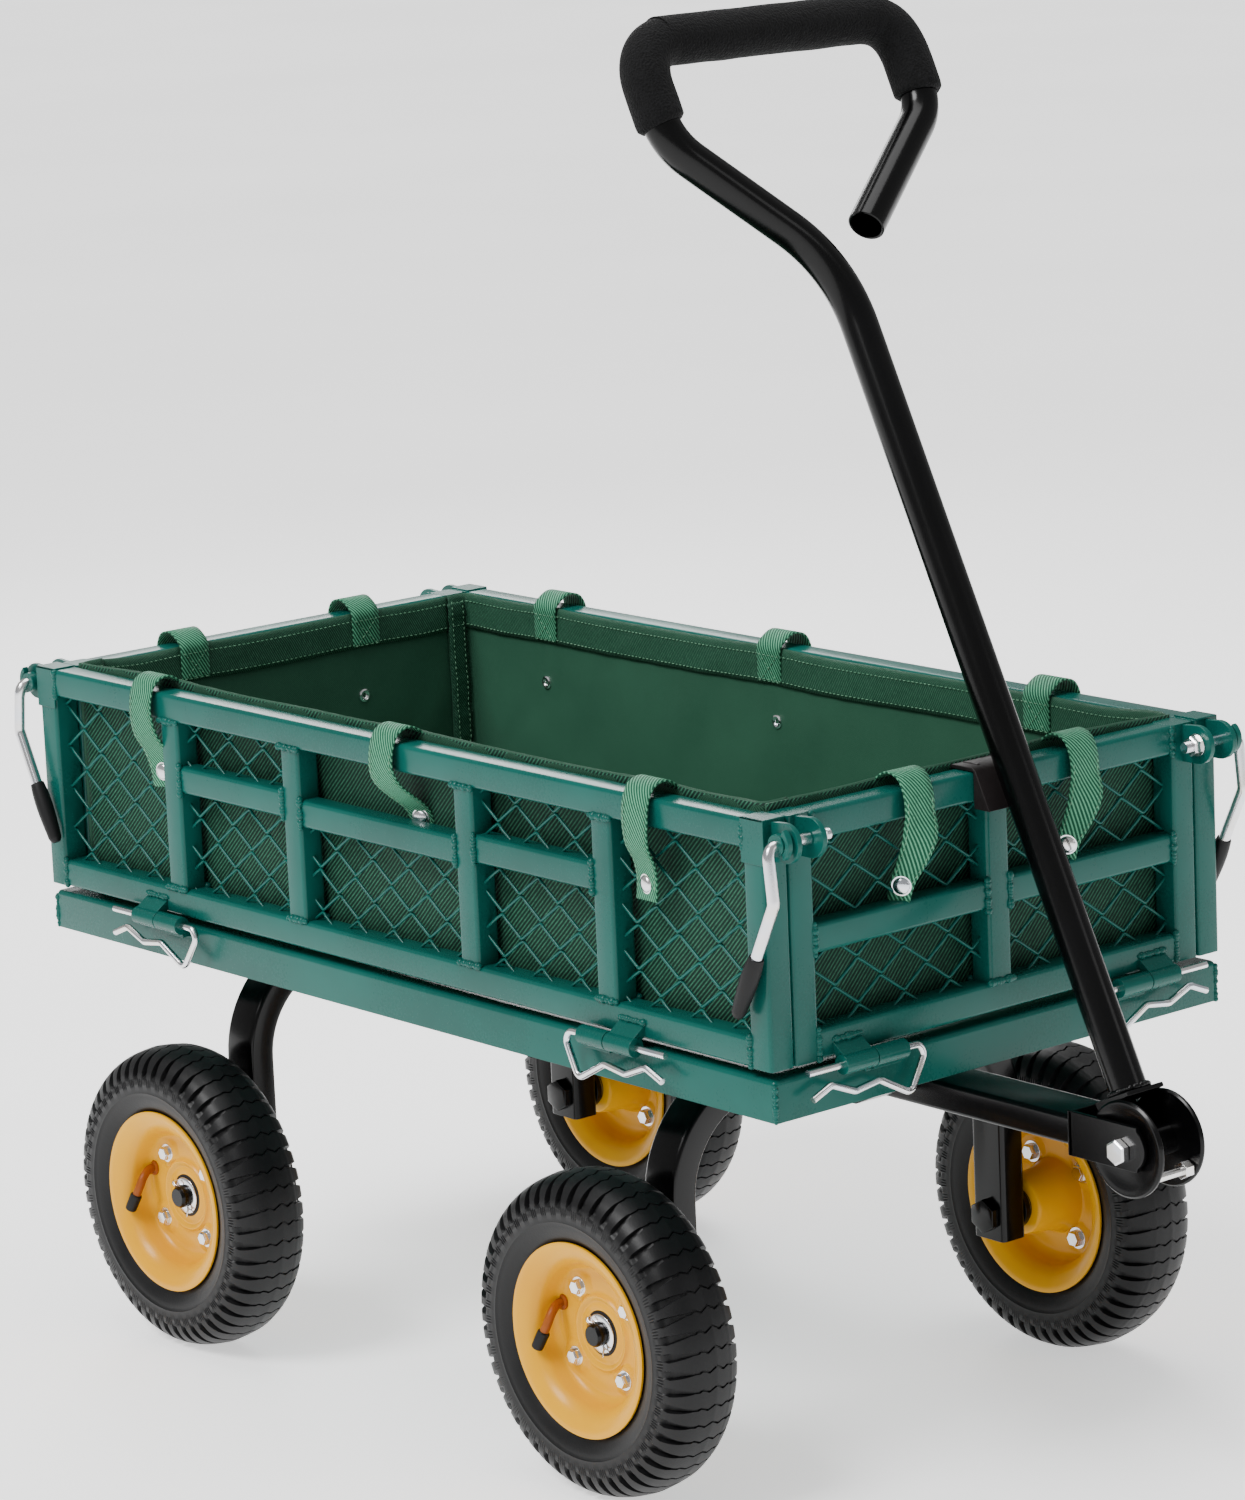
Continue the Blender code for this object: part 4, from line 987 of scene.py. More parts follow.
def makeTongue():
    x0 = joints["wheel_front_left_spin"]["pos_m"][0] + arch["deep"] / 2
    z, w, h = tongue["z"], tongue["wide"] / 2, tongue["high"] / 2
    bm = bmesh.new()
    addBar(bm, (x0 + 0.0003, -w, z - h), (yokeBack, w, z + h), 0, tongue["corner"])
    addBox(bm, (yokeBack - 0.001, -tongue["cheekOut"], z - 0.015), (yokeBack + 0.003, tongue["cheekOut"], z + 0.015))
    tip = pivotX + 0.0175
    for way in (-1, 1):
        lo, hi = sorted((way * tongue["cheekIn"], way * tongue["cheekOut"]))
        outline = [(yokeBack, z - 0.015), (tip - 0.004, z - 0.015)]
        outline += [(tip - 0.004 + px, z + pz) for px, pz in arcPoints(0, 0, 0.015, -55, 55, 8)
                    for px, pz in [(px - 0.015 * math.cos(math.radians(55)) + 0.0005, pz)]]
        outline += [(tip - 0.004, z + 0.0148), (yokeBack, z + 0.0148)]
        addPrism(bm, outline, 1, lo, hi)
    addPrism(bm, [(x0, z - 0.008), (x0 + 0.06, z - 0.008), (x0 + 0.08, z + 0.001), (x0, z + 0.001)], 1, -0.05, 0.05)
    makePiece("tongueBar", bm, blackPaint, "steering", ["tongue"], bevel=0.0006)
    lines = [[(yokeBack - 0.001, y0, z + way * h), (yokeBack - 0.001, y1, z + way * h)]
             for way in (-1, 1) for y0, y1 in ((-w + 0.002, w - 0.002),)]
    lines += [[(yokeBack - 0.001, way * w, z - h + 0.002), (yokeBack - 0.001, way * w, z + h - 0.002)]
              for way in (-1, 1)]
    makeWelds("tongueWelds", lines, blackPaint, "steering", 0.9)
    bm = bmesh.new()
    addRod(bm, (pivotX, -0.0245, pivotZ), (pivotX, 0.0330, pivotZ), 0.0048, 24)
    addHex(bm, (pivotX, -0.0243, pivotZ), (pivotX, -0.0300, pivotZ), 0.0086)
    addHex(bm, (pivotX, 0.0243, pivotZ), (pivotX, 0.0312, pivotZ), 0.0086)
    makePiece("pivotBoltHead", bm, brightZinc, bodyOf["pivot_bolt"], ["pivot_bolt"], bevel=0.0003)


makeTongue()
for slot in frame["nodes"]["swivel_plate"].material_slots:
    slot.material = blackPaint
print("running gear made")


handle = {
    "radius": 0.0125, "foamRadius": 0.0165, "lean": math.radians(25.8), "discR": 0.032, "gripLow": 0.712,
    # side, distance up from the pivot, bend radius
    "bends": [(0.0, 0.0338, 0.0), (0.0, 0.6030, 0.100), (-0.106, 0.7000, 0.045), (-0.106, 0.7690, 0.038),
              (0.121, 0.7690, 0.038), (0.121, 0.7020, 0.038), (0.035, 0.6270, 0.0)],
}
leanTurn = Matrix.Translation((pivotX, 0, pivotZ)) @ Matrix.Rotation(-handle["lean"], 4, "Y")
handleNormal = (leanTurn.to_3x3() @ Vector((1, 0, 0))).normalized()


def makeHandle():
    flat = bentPath([(0, y, up) for y, up, _ in handle["bends"]], [r for _, _, r in handle["bends"]], 14)
    route = [leanTurn @ p for p in flat]
    bm = bmesh.new()
    r = handle["radius"]
    rows = addSweep(bm, route, r, 32, handleNormal, capped=False)
    # rolled lip and a dark bore at the cut end
    here, forward, u, w = pathFrames(route, handleNormal)[-1]
    last = rows[-1]
    for shift, radius in ((0.0006, r - 0.0008), (0.0, r - 0.0018), (-0.018, r - 0.0018)):
        ring = [bm.verts.new(here + forward * shift + (u * math.cos(a) + w * math.sin(a)) * radius)
                for a in (2 * math.pi * k / 32 for k in range(32))]
        for k in range(32):
            j = (k + 1) % 32
            bm.faces.new((last[k], last[j], ring[j], ring[k]))
        last = ring
    bm.faces.new(last)
    bm.faces.new(rows[0][::-1])
    makePiece("handleTube", bm, blackPaint, "handle", ["handle_tube"], sharp=50.0)
    # foam sleeve over the loop, its ends rounded in
    grip = [p for p in flat if p.z > handle["gripLow"]]
    first = next(i for i, p in enumerate(flat) if p.z > handle["gripLow"])
    cut = []
    for a, b in ((flat[first - 1], flat[first]), (grip[-1], flat[first + len(grip)])):
        t = (handle["gripLow"] - a.z) / (b.z - a.z)
        cut.append(a.lerp(b, t))
    grip = smoothPath([leanTurn @ p for p in [cut[0], *grip, cut[1]]], 150)
    bm = bmesh.new()
    full = handle["foamRadius"]

    def sleeve(t):
        edge = min(t, 1 - t) * 150 * 0.0026
        roundIn = math.sqrt(max(0.0, 1 - max(0.0, 1 - edge / 0.0045) ** 2))
        return r + 0.0004 + (full - r - 0.0004) * (0.35 + 0.65 * roundIn)

    addSweep(bm, grip, sleeve, 40, handleNormal)
    for v in bm.verts:
        v.co += noise.noise_vector(v.co * 55) * 0.00035
    foam = makePiece("foamSleeve", bm, foamBlack, "handle", ["foam_grip"], sharp=60.0)
    # hitch: two dished discs, a web between them and a spacer bolt low down
    bm = bmesh.new()
    big = handle["discR"]
    for way in (-1, 1):
        addTurned(bm, [(0.0056, 0.0), (big - 0.0065, 0.0), (big - 0.0050, 0.0004), (big - 0.0012, 0.0004),
                       (big, 0.0014), (big, 0.0030), (big - 0.0014, 0.0042), (big - 0.0055, 0.0042),
                       (big - 0.0075, 0.0032), (0.0056, 0.0032)],
                  (pivotX, way * 0.0160, pivotZ), way, 72)
    addRod(bm, (pivotX, -0.0162, pivotZ), (pivotX, 0.0162, pivotZ), 0.0105, 28)
    web = [(-0.0165, 0.0350), (-0.0165, -0.006), (-0.0135, -0.006), (-0.0135, 0.0295), (0.0150, 0.0310),
           (0.0150, 0.0340)]
    web = [(leanTurn @ Vector((px, 0, pz))) for px, pz in web]
    addPrism(bm, [(p.x, p.z) for p in web], 1, -0.0163, 0.0163)
    makePiece("hitchDiscs", bm, blackPaint, "handle", ["hitch_bracket"], bevel=0.0005)
    spot = leanTurn @ Vector((0.012, 0, -0.0235))
    bm = bmesh.new()
    addRod(bm, (spot.x, -0.0165, spot.z), (spot.x, 0.0165, spot.z), 0.0030, 20)
    addHex(bm, (spot.x, 0.0080, spot.z), (spot.x, 0.0158, spot.z), 0.0058)
    makePiece("hitchSpacer", bm, brightZinc, "handle", bevel=0.0002)
    foot = [leanTurn @ Vector((r * 1.02 * math.cos(a), r * 1.02 * math.sin(a), 0.0358))
            for a in np.linspace(0, 2 * math.pi, 40)]
    makeWelds("handleFootWeld", [foot], blackPaint, "handle", 0.8)


makeHandle()
print("handle made")


def makeClip():
    lo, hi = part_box("handle_clip")
    railBack, railFront = lo.x + 0.001, bedX + panelL / 2
    behind = 0.0125 / math.cos(handle["lean"]) + 0.0016

    def shaftX(z):
        return pivotX - (z - pivotZ) * math.tan(handle["lean"]) - behind

    top, low = hi.z, lo.z
    outline = [(railBack - 0.001, panelTop + 0.0003), (railFront + 0.0003, panelTop + 0.0003),
               (railFront + 0.0003, low), (shaftX(low), low), (shaftX(top - 0.002), top - 0.002),
               (shaftX(top) - 0.002, top), (railBack + 0.001, top), (railBack - 0.001, top - 0.001)]
    bm = bmesh.new()
    addPrism(bm, outline, 1, lo.y, hi.y)
    # two ribs on the top plate
    for y in (-0.012, 0.012):
        addBox(bm, (railBack + 0.002, y - 0.0012, top - 0.0005), (railFront - 0.004, y + 0.0012, top + 0.0006))
    makePiece("railClip", bm, clipPlastic, "chassis", ["handle_clip"], bevel=0.0012)


makeClip()


tyre = {"pitches": 52, "rows": 92, "groove": 0.0014, "lug": 0.0036, "rib": 0.00045}
tyreOutline = [(0.0662, 0.0236), (0.0705, 0.0262), (0.0770, 0.0287), (0.0860, 0.0299), (0.0940, 0.0286),
               (0.1010, 0.0248), (0.1057, 0.0192), (0.1086, 0.0110), (0.1100, 0.0000)]


# across runs in metres from the crown to each side; gives groove depth, half width and slant
def treadAt(across):
    a = abs(across)
    if a < 0.0120:
        wave = 0.0017 * (abs(((across / 0.0120) * 2.0) % 2 - 1) * 2 - 1) * (1 if a < 0.0090 else 0.3)
        return tyre["groove"], 0.00080, wave
    if a < 0.0180:
        return tyre["groove"] * 0.8, 0.0010, -0.0005
    if a < 0.0340:
        t = (a - 0.0180) / 0.0160
        return tyre["lug"] * min(1.0, 0.50 + t * 1.2), 0.0014 + 0.0018 * t, -0.0005 - 0.0012 * t
    if a < 0.0385:
        t = (a - 0.0340) / 0.0045
        return tyre["lug"] * (1 - t), 0.0028, -0.0017
    return 0.0, 0.0028, -0.0017


def makeTyre(end, side, sy):
    node = f"{end}_{side}_tyre"
    spin = joints[f"wheel_{end}_{side}_spin"]["pos_m"]
    half = smoothPath(tyreOutline, tyre["rows"] // 2 + 1)
    outline = np.vstack([half, (half[:-1] * [1, -1])[::-1]])
    steps = np.linalg.norm(np.diff(outline, axis=0), axis=1)
    along = np.concatenate([[0], np.cumsum(steps)]) - steps.sum() / 2
    tangents = np.gradient(outline, axis=0)
    tangents /= np.linalg.norm(tangents, axis=1)[:, None]
    normals = np.stack([tangents[:, 1] * -1, tangents[:, 0]], axis=1)
    normals *= np.sign((normals * (outline - [0.086, 0.0])).sum(axis=1))[:, None]
    pitch = 2 * math.pi / tyre["pitches"]
    rings = []
    for (r, depth), normal, across in zip(outline, normals, along):
        groove, wide, slant = treadAt(across)
        a = abs(across)
        ring = []
        for k in range(tyre["pitches"]):
            w = wide / r / pitch
            marks = [(-w, 0), (-w * 0.7, 1), (w * 0.7, 1), (w, 0)]
            free = 1 - 2 * w
            marks += [(w + free * f, 0) for f in (0.20, 0.40, 0.60, 0.80)]
            for j, (u, inGroove) in enumerate(marks):
                turn = (k + u) * pitch + slant / r
                push = -groove * inGroove
                if 0.0360 < a < 0.0470:
                    fade = min((a - 0.0360) / 0.003, (0.0470 - a) / 0.003, 1.0)
                    push -= tyre["rib"] * fade * (j % 2)
                if 0.0478 < a < 0.0492:
                    push += 0.00045
                if 0.0008 > abs(across - 0.0142):
                    push += 0.0003
                rr, dd = r + normal[0] * push, depth + normal[1] * push
                ring.append((spin[0] + rr * math.cos(turn), spin[1] + dd * sy, spin[2] + rr * math.sin(turn)))
        rings.append(ring)
    for r, depth in ((0.0634, -0.0232), (0.0580, -0.0190), (0.0540, -0.0130), (0.0540, 0.0130), (0.0580, 0.0190),
                     (0.0634, 0.0232)):
        rings.append([(spin[0] + r * math.cos(t), spin[1] + depth * sy, spin[2] + r * math.sin(t))
                      for t in (2 * math.pi * k / len(rings[0]) for k in range(len(rings[0])))])
    count, rows = len(rings[0]), len(rings)
    faces = [(i * count + k, i * count + (k + 1) % count, ((i + 1) % rows) * count + (k + 1) % count,
              ((i + 1) % rows) * count + k) for i in range(rows) for k in range(count)]
    mesh = bpy.data.meshes.new(node)
    mesh.from_pydata([p for ring in rings for p in ring], [], faces)
    bm = bmesh.new()
    bm.from_mesh(mesh)
    bpy.data.meshes.remove(mesh)
    makePiece(f"{node}Tread", bm, tyreRubber, bodyOf[node], [node], sharp=32.0)


rim = {"bolts": [math.radians(38 + 90 * k) for k in range(4)], "boltR": 0.035, "steps": 96}
dishCurve = [(0.0250, 0.0056), (0.0275, 0.0036), (0.0340, 0.0030), (0.0425, 0.0030), (0.0466, 0.0060),
             (0.0484, 0.0112), (0.0500, 0.0168), (0.0542, 0.0220), (0.0605, 0.0256), (0.0640, 0.0266), (0.0660, 0.0262)]
dishBack = [(0.0660, 0.0247), (0.0617, 0.0242), (0.0558, 0.0207), (0.0515, 0.0155), (0.0497, 0.0100),
            (0.0478, 0.0045), (0.0455, 0.0010), (0.0132, 0.0010)]


def makeRims(end, side, sy):
    spin = Vector(joints[f"wheel_{end}_{side}_spin"]["pos_m"])
    body = bodyOf[f"{end}_{side}_tyre"]

    def lobes(r, a, depth):
        if not 0.0275 < r < 0.0465 or abs(depth) > 0.009:
            return 0.0
        near = min(math.hypot(r * math.cos(a) - rim["boltR"] * math.cos(b),
                              r * math.sin(a) - rim["boltR"] * math.sin(b)) for b in rim["bolts"])
        rise = max(0.0, min(1.0, (0.0118 - near) / 0.0022))
        return 0.0018 * rise * (3 - 2 * rise) * rise * (1 if depth > 0 else -1)

    front = [(0.0132, 0.0044), (0.0196, 0.0044), (0.0206, 0.0036), (0.0222, 0.0038), (0.0234, 0.0054)]
    front += [tuple(p) for p in smoothPath(dishCurve, 44)]
    bm = bmesh.new()
    addTurned(bm, front + dishBack, spin, sy, rim["steps"], lobes)
    makePiece(f"{end}_{side}_rimOuter", bm, yellowPaint, body, [f"{end}_{side}_rim_outer"],
              sharp=50.0)
    inner = [(0.0132, -0.0405), (0.0192, -0.0405), (0.0204, -0.0396), (0.0210, -0.0380), (0.0236, -0.0120)]
    inner += [(r, -depth) for r, depth in (tuple(p) for p in smoothPath([(0.0262, 0.0062)] + dishCurve[1:], 44))]
    bm = bmesh.new()
    addTurned(bm, inner + [(r, -depth) for r, depth in dishBack], spin, sy, rim["steps"], lobes)
    makePiece(f"{end}_{side}_rimInner", bm, yellowPaint, body, [f"{end}_{side}_rim_inner"],
              sharp=50.0)
    depth = 0.0042  # bolt heads stand on the lobes
    for where, way, radius, high in (("Outer", 1, 0.0052, 0.0042), ("Inner", -1, 0.0060, 0.0050)):
        spots = [spin + Vector((rim["boltR"] * math.cos(b), sy * way * depth, rim["boltR"] * math.sin(b)))
                 for b in rim["bolts"]]
        mesh = growMesh(f"{end}_{side}_bolts{where}", spots, [], boltTree,
                        {"Radius": radius, "Height": high, "Facing": (0.0, sy * way, 0.0), "Material": brightZinc})
        finishPiece(f"{end}_{side}_bolts{where}", mesh, brightZinc, body, sharp=30.0, bevel=0.0003)
    # bearing seal in the hub, both ends
    bm = bmesh.new()
    addTurned(bm, [(0.0082, 0.0008), (0.0150, 0.0008), (0.0158, 0.0020), (0.0158, 0.0042), (0.0146, 0.0049),
                   (0.0082, 0.0046)], spin, sy, 60)
    addTurned(bm, [(0.0082, -0.0375), (0.0130, -0.0375), (0.0130, -0.0402), (0.0082, -0.0402)], spin, sy, 48)
    makePiece(f"{end}_{side}_hubSeals", bm, gripRubber, body, bevel=0.0003)
    makeValve(end, side, sy, spin, body)


valve = {"stemR": 0.0031, "capR": 0.0043, "capLong": 0.0135}


def makeValve(end, side, sy, spin, body):
    def at(x, depth, z):
        return spin + Vector((x, sy * depth, z))

    route = smoothPath([at(-0.0415, 0.0020, 0.0125), at(-0.0408, 0.0085, 0.0118), at(-0.0385, 0.0150, 0.0082),
                        at(-0.0392, 0.0186, 0.0010), at(-0.0412, 0.0200, -0.0042)], 26)
    bm = bmesh.new()
    addSweep(bm, route, valve["stemR"], 18)
    addTurned(bm, [(0.0030, 0.0), (0.0058, 0.0), (0.0056, 0.0012), (0.0034, 0.0018)], at(-0.0415, 0.0030, 0.0125),
              sy, 28)
    makePiece(f"{end}_{side}_valveStem", bm, stemRubber, body, sharp=50.0)
    a = Vector(route[-1])
    way = (a - Vector(route[-4])).normalized()
    run = [a + way * valve["capLong"] * t for t in (0.0, 0.02, 0.06, 0.10, 0.90, 0.96, 1.0)]
    radii = [0.78, 0.92, 1.0, 1.0, 0.96, 0.90, 0.72]
    bm = bmesh.new()
    frames = pathFrames(run)
    rings = []
    for (here, _, u, w), scale in zip(frames, radii):
        ring = []
        for k in range(48):
            t = 2 * math.pi * k / 48
            grooved = valve["capR"] * scale * (1 - 0.06 * (k % 2))
            ring.append(here + (u * math.cos(t) + w * math.sin(t)) * grooved)
        rings.append(ring)
    loopFaces(bm, rings)
    makePiece(f"{end}_{side}_valveCap", bm, gripRubber, body, sharp=60.0)


for end, sx in ends:
    for side, sy in sides:
        makeTyre(end, side, sy)
        makeRims(end, side, sy)
print("wheels made")

liner = {
    "thick": 0.0011, "depth": tube + 0.0016, "low": 0.3128, "hem": 0.026, "strapWide": 0.025, "strapThick": 0.0013,
    "rise": {"left": 0.0042, "front": 0.0042, "right": -0.0012, "rear": -0.0012},
    "halfLong": panelL / 2 - tube - 0.0062, "halfEnd": endLength / 2 - 0.0010,
    # the long walls turn each corner and run on along the end walls
    "cornerR": 0.006, "lap": 0.014, "lapOff": 0.0014,
    # place of each strap along its wall, and how far its loose end has drifted
    "straps": {"left": [(-0.262, 0.012), (0.018, 0.012), (0.282, -0.004)], "right": [(-0.255, 0.006), (0.020, -0.008),
                                                                                   (0.275, 0.004)],
               "front": [(-0.074, -0.009), (0.074, -0.008)], "rear": [(-0.080, 0.005), (0.080, -0.003)]},
}


def stripMesh(bm, path, across, wide, uv, offset=0.0, taper=None):
    rows = []
    along = 0.0
    for i, here in enumerate(path):
        if i:
            along += (Vector(path[i]) - Vector(path[i - 1])).length
        half = wide / 2 * (taper(i / (len(path) - 1)) if taper else 1.0)
        side = across[i] if isinstance(across, list) else across
        row = []
        for k in range(5):
            f = k / 4 * 2 - 1
            row.append((bm.verts.new(Vector(here) + Vector(side) * half * f), (f * half + offset, along)))
        rows.append(row)
    for one, two in zip(rows, rows[1:]):
        for k in range(4):
            quad = (one[k], one[k + 1], two[k + 1], two[k])
            face = bm.faces.new([v for v, _ in quad])
            for loop, (_, spot) in zip(face.loops, quad):
                loop[uv].uv = spot


def sheetMesh(bm, uv, columns, rows, place):
    grid = [[bm.verts.new(place(i / columns, j / rows)[0]) for i in range(columns + 1)] for j in range(rows + 1)]
    for j in range(rows):
        for i in range(columns):
            corners = ((i, j), (i + 1, j), (i + 1, j + 1), (i, j + 1))
            face = bm.faces.new([grid[q][p] for p, q in corners])
            for loop, (p, q) in zip(face.loops, corners):
                loop[uv].uv = place(p / columns, q / rows)[1]


# slack of the cloth, inward: none at the hem, the ends and the floor, and small drag lines at the straps
def wallBulge(side, x, z, half):
    top = panelTop + liner["rise"][side]
    h = (z - liner["low"]) / (top - liner["low"])
    ends = min(1.0, (half - abs(x)) / 0.035)
    held = math.sin(math.pi * min(max(h, 0.0), 1.0)) ** 0.7 * max(ends, 0.0)
    seed = {"left": 0.0, "right": 7.0, "front": 13.0, "rear": 19.0}[side]
    broad = noise.noise(Vector((x * 6.5 + seed, z * 5.0, 0.3))) * 0.0026
    folds = noise.noise(Vector((x * 24 + z * 12 + seed, z * 14, 1.7))) * 0.0012
    near = sum(math.exp(-((x - sx) / 0.030) ** 2) for sx, _ in liner["straps"][side])
    drag = near * 0.0009 * math.sin(x * 260) * max(0.0, h - 0.45)
    return 0.0030 * held + max(-0.0002, (broad + folds) * held * 1.4) + drag


def hemWave(side, x):
    seed = {"left": 3.0, "right": 5.0, "front": 11.0, "rear": 17.0}[side]
    lift = max((math.exp(-((x - sx) / 0.035) ** 2) for sx, _ in liner["straps"][side]), default=0.0)
    return noise.noise(Vector((x * 9 + seed, 0, 0))) * 0.0010 + 0.0010 * (lift - 0.5)


def nextWall(side, x):
    here = panelTurn[side] @ Vector((x, liner["depth"], 0))
    if side in ("left", "right"):
        return "front" if here.x > bedX else "rear"
    return "left" if here.y < 0 else "right"


# top edge of the cloth: neighbouring walls meet at one height
def hemTop(side, x, half):
    own, other = liner["rise"][side], liner["rise"][nextWall(side, x)]
    near = min(1.0, max(0.0, 1 - (half - abs(x)) / 0.06))
    near *= near * (3 - 2 * near)
    return panelTop + own + (other - own) / 2 * near + hemWave(side, x) * (1 - near) + 0.0005 * near


# point on a wall at the distance x along it, off its inner face; a long wall goes on round the corner
def wallPoint(side, x, z, off=0.0, share=1.0):
    turn, depth = panelTurn[side], liner["depth"]
    half = liner["halfLong"] if side in ("left", "right") else liner["halfEnd"]
    straight = half + 0.0033 - liner["cornerR"]
    if side in ("front", "rear") or abs(x) <= straight:
        return turn @ Vector((x, depth + wallBulge(side, x, z, half) * share + off, z))
    way = 1 if x > 0 else -1
    arc = liner["cornerR"] * 1.62
    past = abs(x) - straight
    end = nextWall(side, x)
    y = depth + liner["cornerR"] + max(0.0, past - arc)
    spot = panelTurn[end].inverted() @ (turn @ Vector((way * half, y, z)))
    spot.y = depth + wallBulge(end, spot.x, z, liner["halfEnd"]) * share + liner["lapOff"] + off
    last = turn.inverted() @ (panelTurn[end] @ spot)
    if past >= arc:
        return turn @ last
    t = past / arc
    first = Vector((way * straight, depth + wallBulge(side, way * straight, z, half) * share + off, z))
    bend = Vector((last.x, first.y, z))
    return turn @ (first * (1 - t) ** 2 + bend * 2 * t * (1 - t) + last * t * t)


def makeWall(side):
    node = f"liner_{side}"
    body = bodyOf[node]
    turn = panelTurn[side]
    long = side in ("left", "right")
    half = liner["halfLong"] if long else liner["halfEnd"]
    straight = half + 0.0033 - liner["cornerR"]
    reach = straight + liner["cornerR"] * 1.62 + liner["lap"] if long else half
    top = panelTop + liner["rise"][side]
    low = liner["low"]
    columns = 190 if long else 76

    def spot(u, v):
        x = (u * 2 - 1) * reach
        z = low + (hemTop(side, x, half) - low) * v
        return wallPoint(side, x, z), (x, z)

    bm = bmesh.new()
    uv = bm.loops.layers.uv.new("cut")
    sheetMesh(bm, uv, columns, 36, spot)
    wall = clothPiece(f"{node}Wall", bm, [linerInside, linerOutside], body, [node], liner["thick"], side)
    # hem tape folded over the top edge, inside and outside
    bm = bmesh.new()
    uv = bm.loops.layers.uv.new("cut")
    fold = [(0.0022, -liner["hem"]), (0.0022, -0.018), (0.0023, -0.010), (0.0022, -0.0035), (0.0017, -0.0006),
            (0.0004, 0.0009), (-0.0009, -0.0002), (-0.0012, -0.0030), (-0.0012, -0.010), (-0.0011, -0.020)]
    taped = reach - 0.0002 if long else half - liner["lap"] - liner["cornerR"] + 0.0008

    def tape(u, v):
        x = (u * 2 - 1) * taped
        k = v * (len(fold) - 1)
        i = min(int(k), len(fold) - 2)
        t = k - i
        dy = fold[i][0] * (1 - t) + fold[i + 1][0] * t
        dz = fold[i][1] * (1 - t) + fold[i + 1][1] * t
        pucker = noise.noise(Vector((x * 60, dz * 90, 4.0))) * 0.00055
        return wallPoint(side, x, hemTop(side, x, half) + dz, dy + pucker, 0.9), (x, v * 0.056)

    sheetMesh(bm, uv, columns, (len(fold) - 1) * 2, tape)
    hem = clothPiece(f"{node}Hem", bm, [hemCloth, hemCloth], body, [], 0.0006, side)
    lines = []
    for drop in (0.0050, liner["hem"] - 0.0030):
        lines.append([wallPoint(side, x, hemTop(side, x, half) - drop, 0.0030, 0.9)
                      for x in np.linspace(-taped + 0.004, taped - 0.004, 90)])
    extras = [hem]
    for number, (x, drift) in enumerate(liner["straps"][side]):
        strap, snap, marks = makeStrap(side, number, x, drift, turn, body, top)
        extras += [strap, snap]
        lines += marks
    # gathered tape down the lap at each corner
    for way in (-1, 1) if long else ():
        bm = bmesh.new()
        uv = bm.loops.layers.uv.new("cut")
        x0 = way * (reach - liner["lap"] / 2 - 0.001)
        end = nextWall(side, x0)
        inward = panelTurn[end].to_3x3() @ Vector((0, 1, 0))
        across = panelTurn[end].to_3x3() @ Vector((1, 0, 0))
        path = []
        for z in np.linspace(low + 0.002, hemTop(side, x0, half) - 0.005, 60):
            pucker = noise.noise(Vector((z * 110, x0 * 9, 2.0))) * 0.0016
            path.append(wallPoint(side, x0, z, 0.0024 + abs(pucker)) + across * pucker * 0.5)
        stripMesh(bm, path, across, liner["lap"] + 0.003, uv, taper=lambda t: 1 + 0.05 * math.sin(t * 90))
        extras.append(clothPiece(f"{node}Seam{'A' if way < 0 else 'B'}", bm, [hemCloth, hemCloth], body, [],
                                 0.0007, end))
        for shift in (-0.0052, 0.0052):
            lines.append([p + across * shift + inward * 0.0008 for p in path])
    extras.append(makeStitches(f"{node}Thread", lines, body))


def clothPiece(name, bm, mats, body, stands, thick, side):
    inward = panelTurn[side].to_3x3() @ Vector((0, 1, 0)) if side in panelTurn else Vector((0, 0, 1))
    bm.normal_update()
    total = sum((f.normal * f.calc_area() for f in bm.faces), Vector())
    if total.dot(inward) < 0:
        bmesh.ops.reverse_faces(bm, faces=bm.faces)
    piece = makePiece(name, bm, mats, body, stands, sharp=180.0, fix=False)
    wall = piece.modifiers.new("thickness", "SOLIDIFY")
    wall.thickness = thick
    wall.offset = -1
    wall.material_offset = 1
    wall.material_offset_rim = 0
    return piece


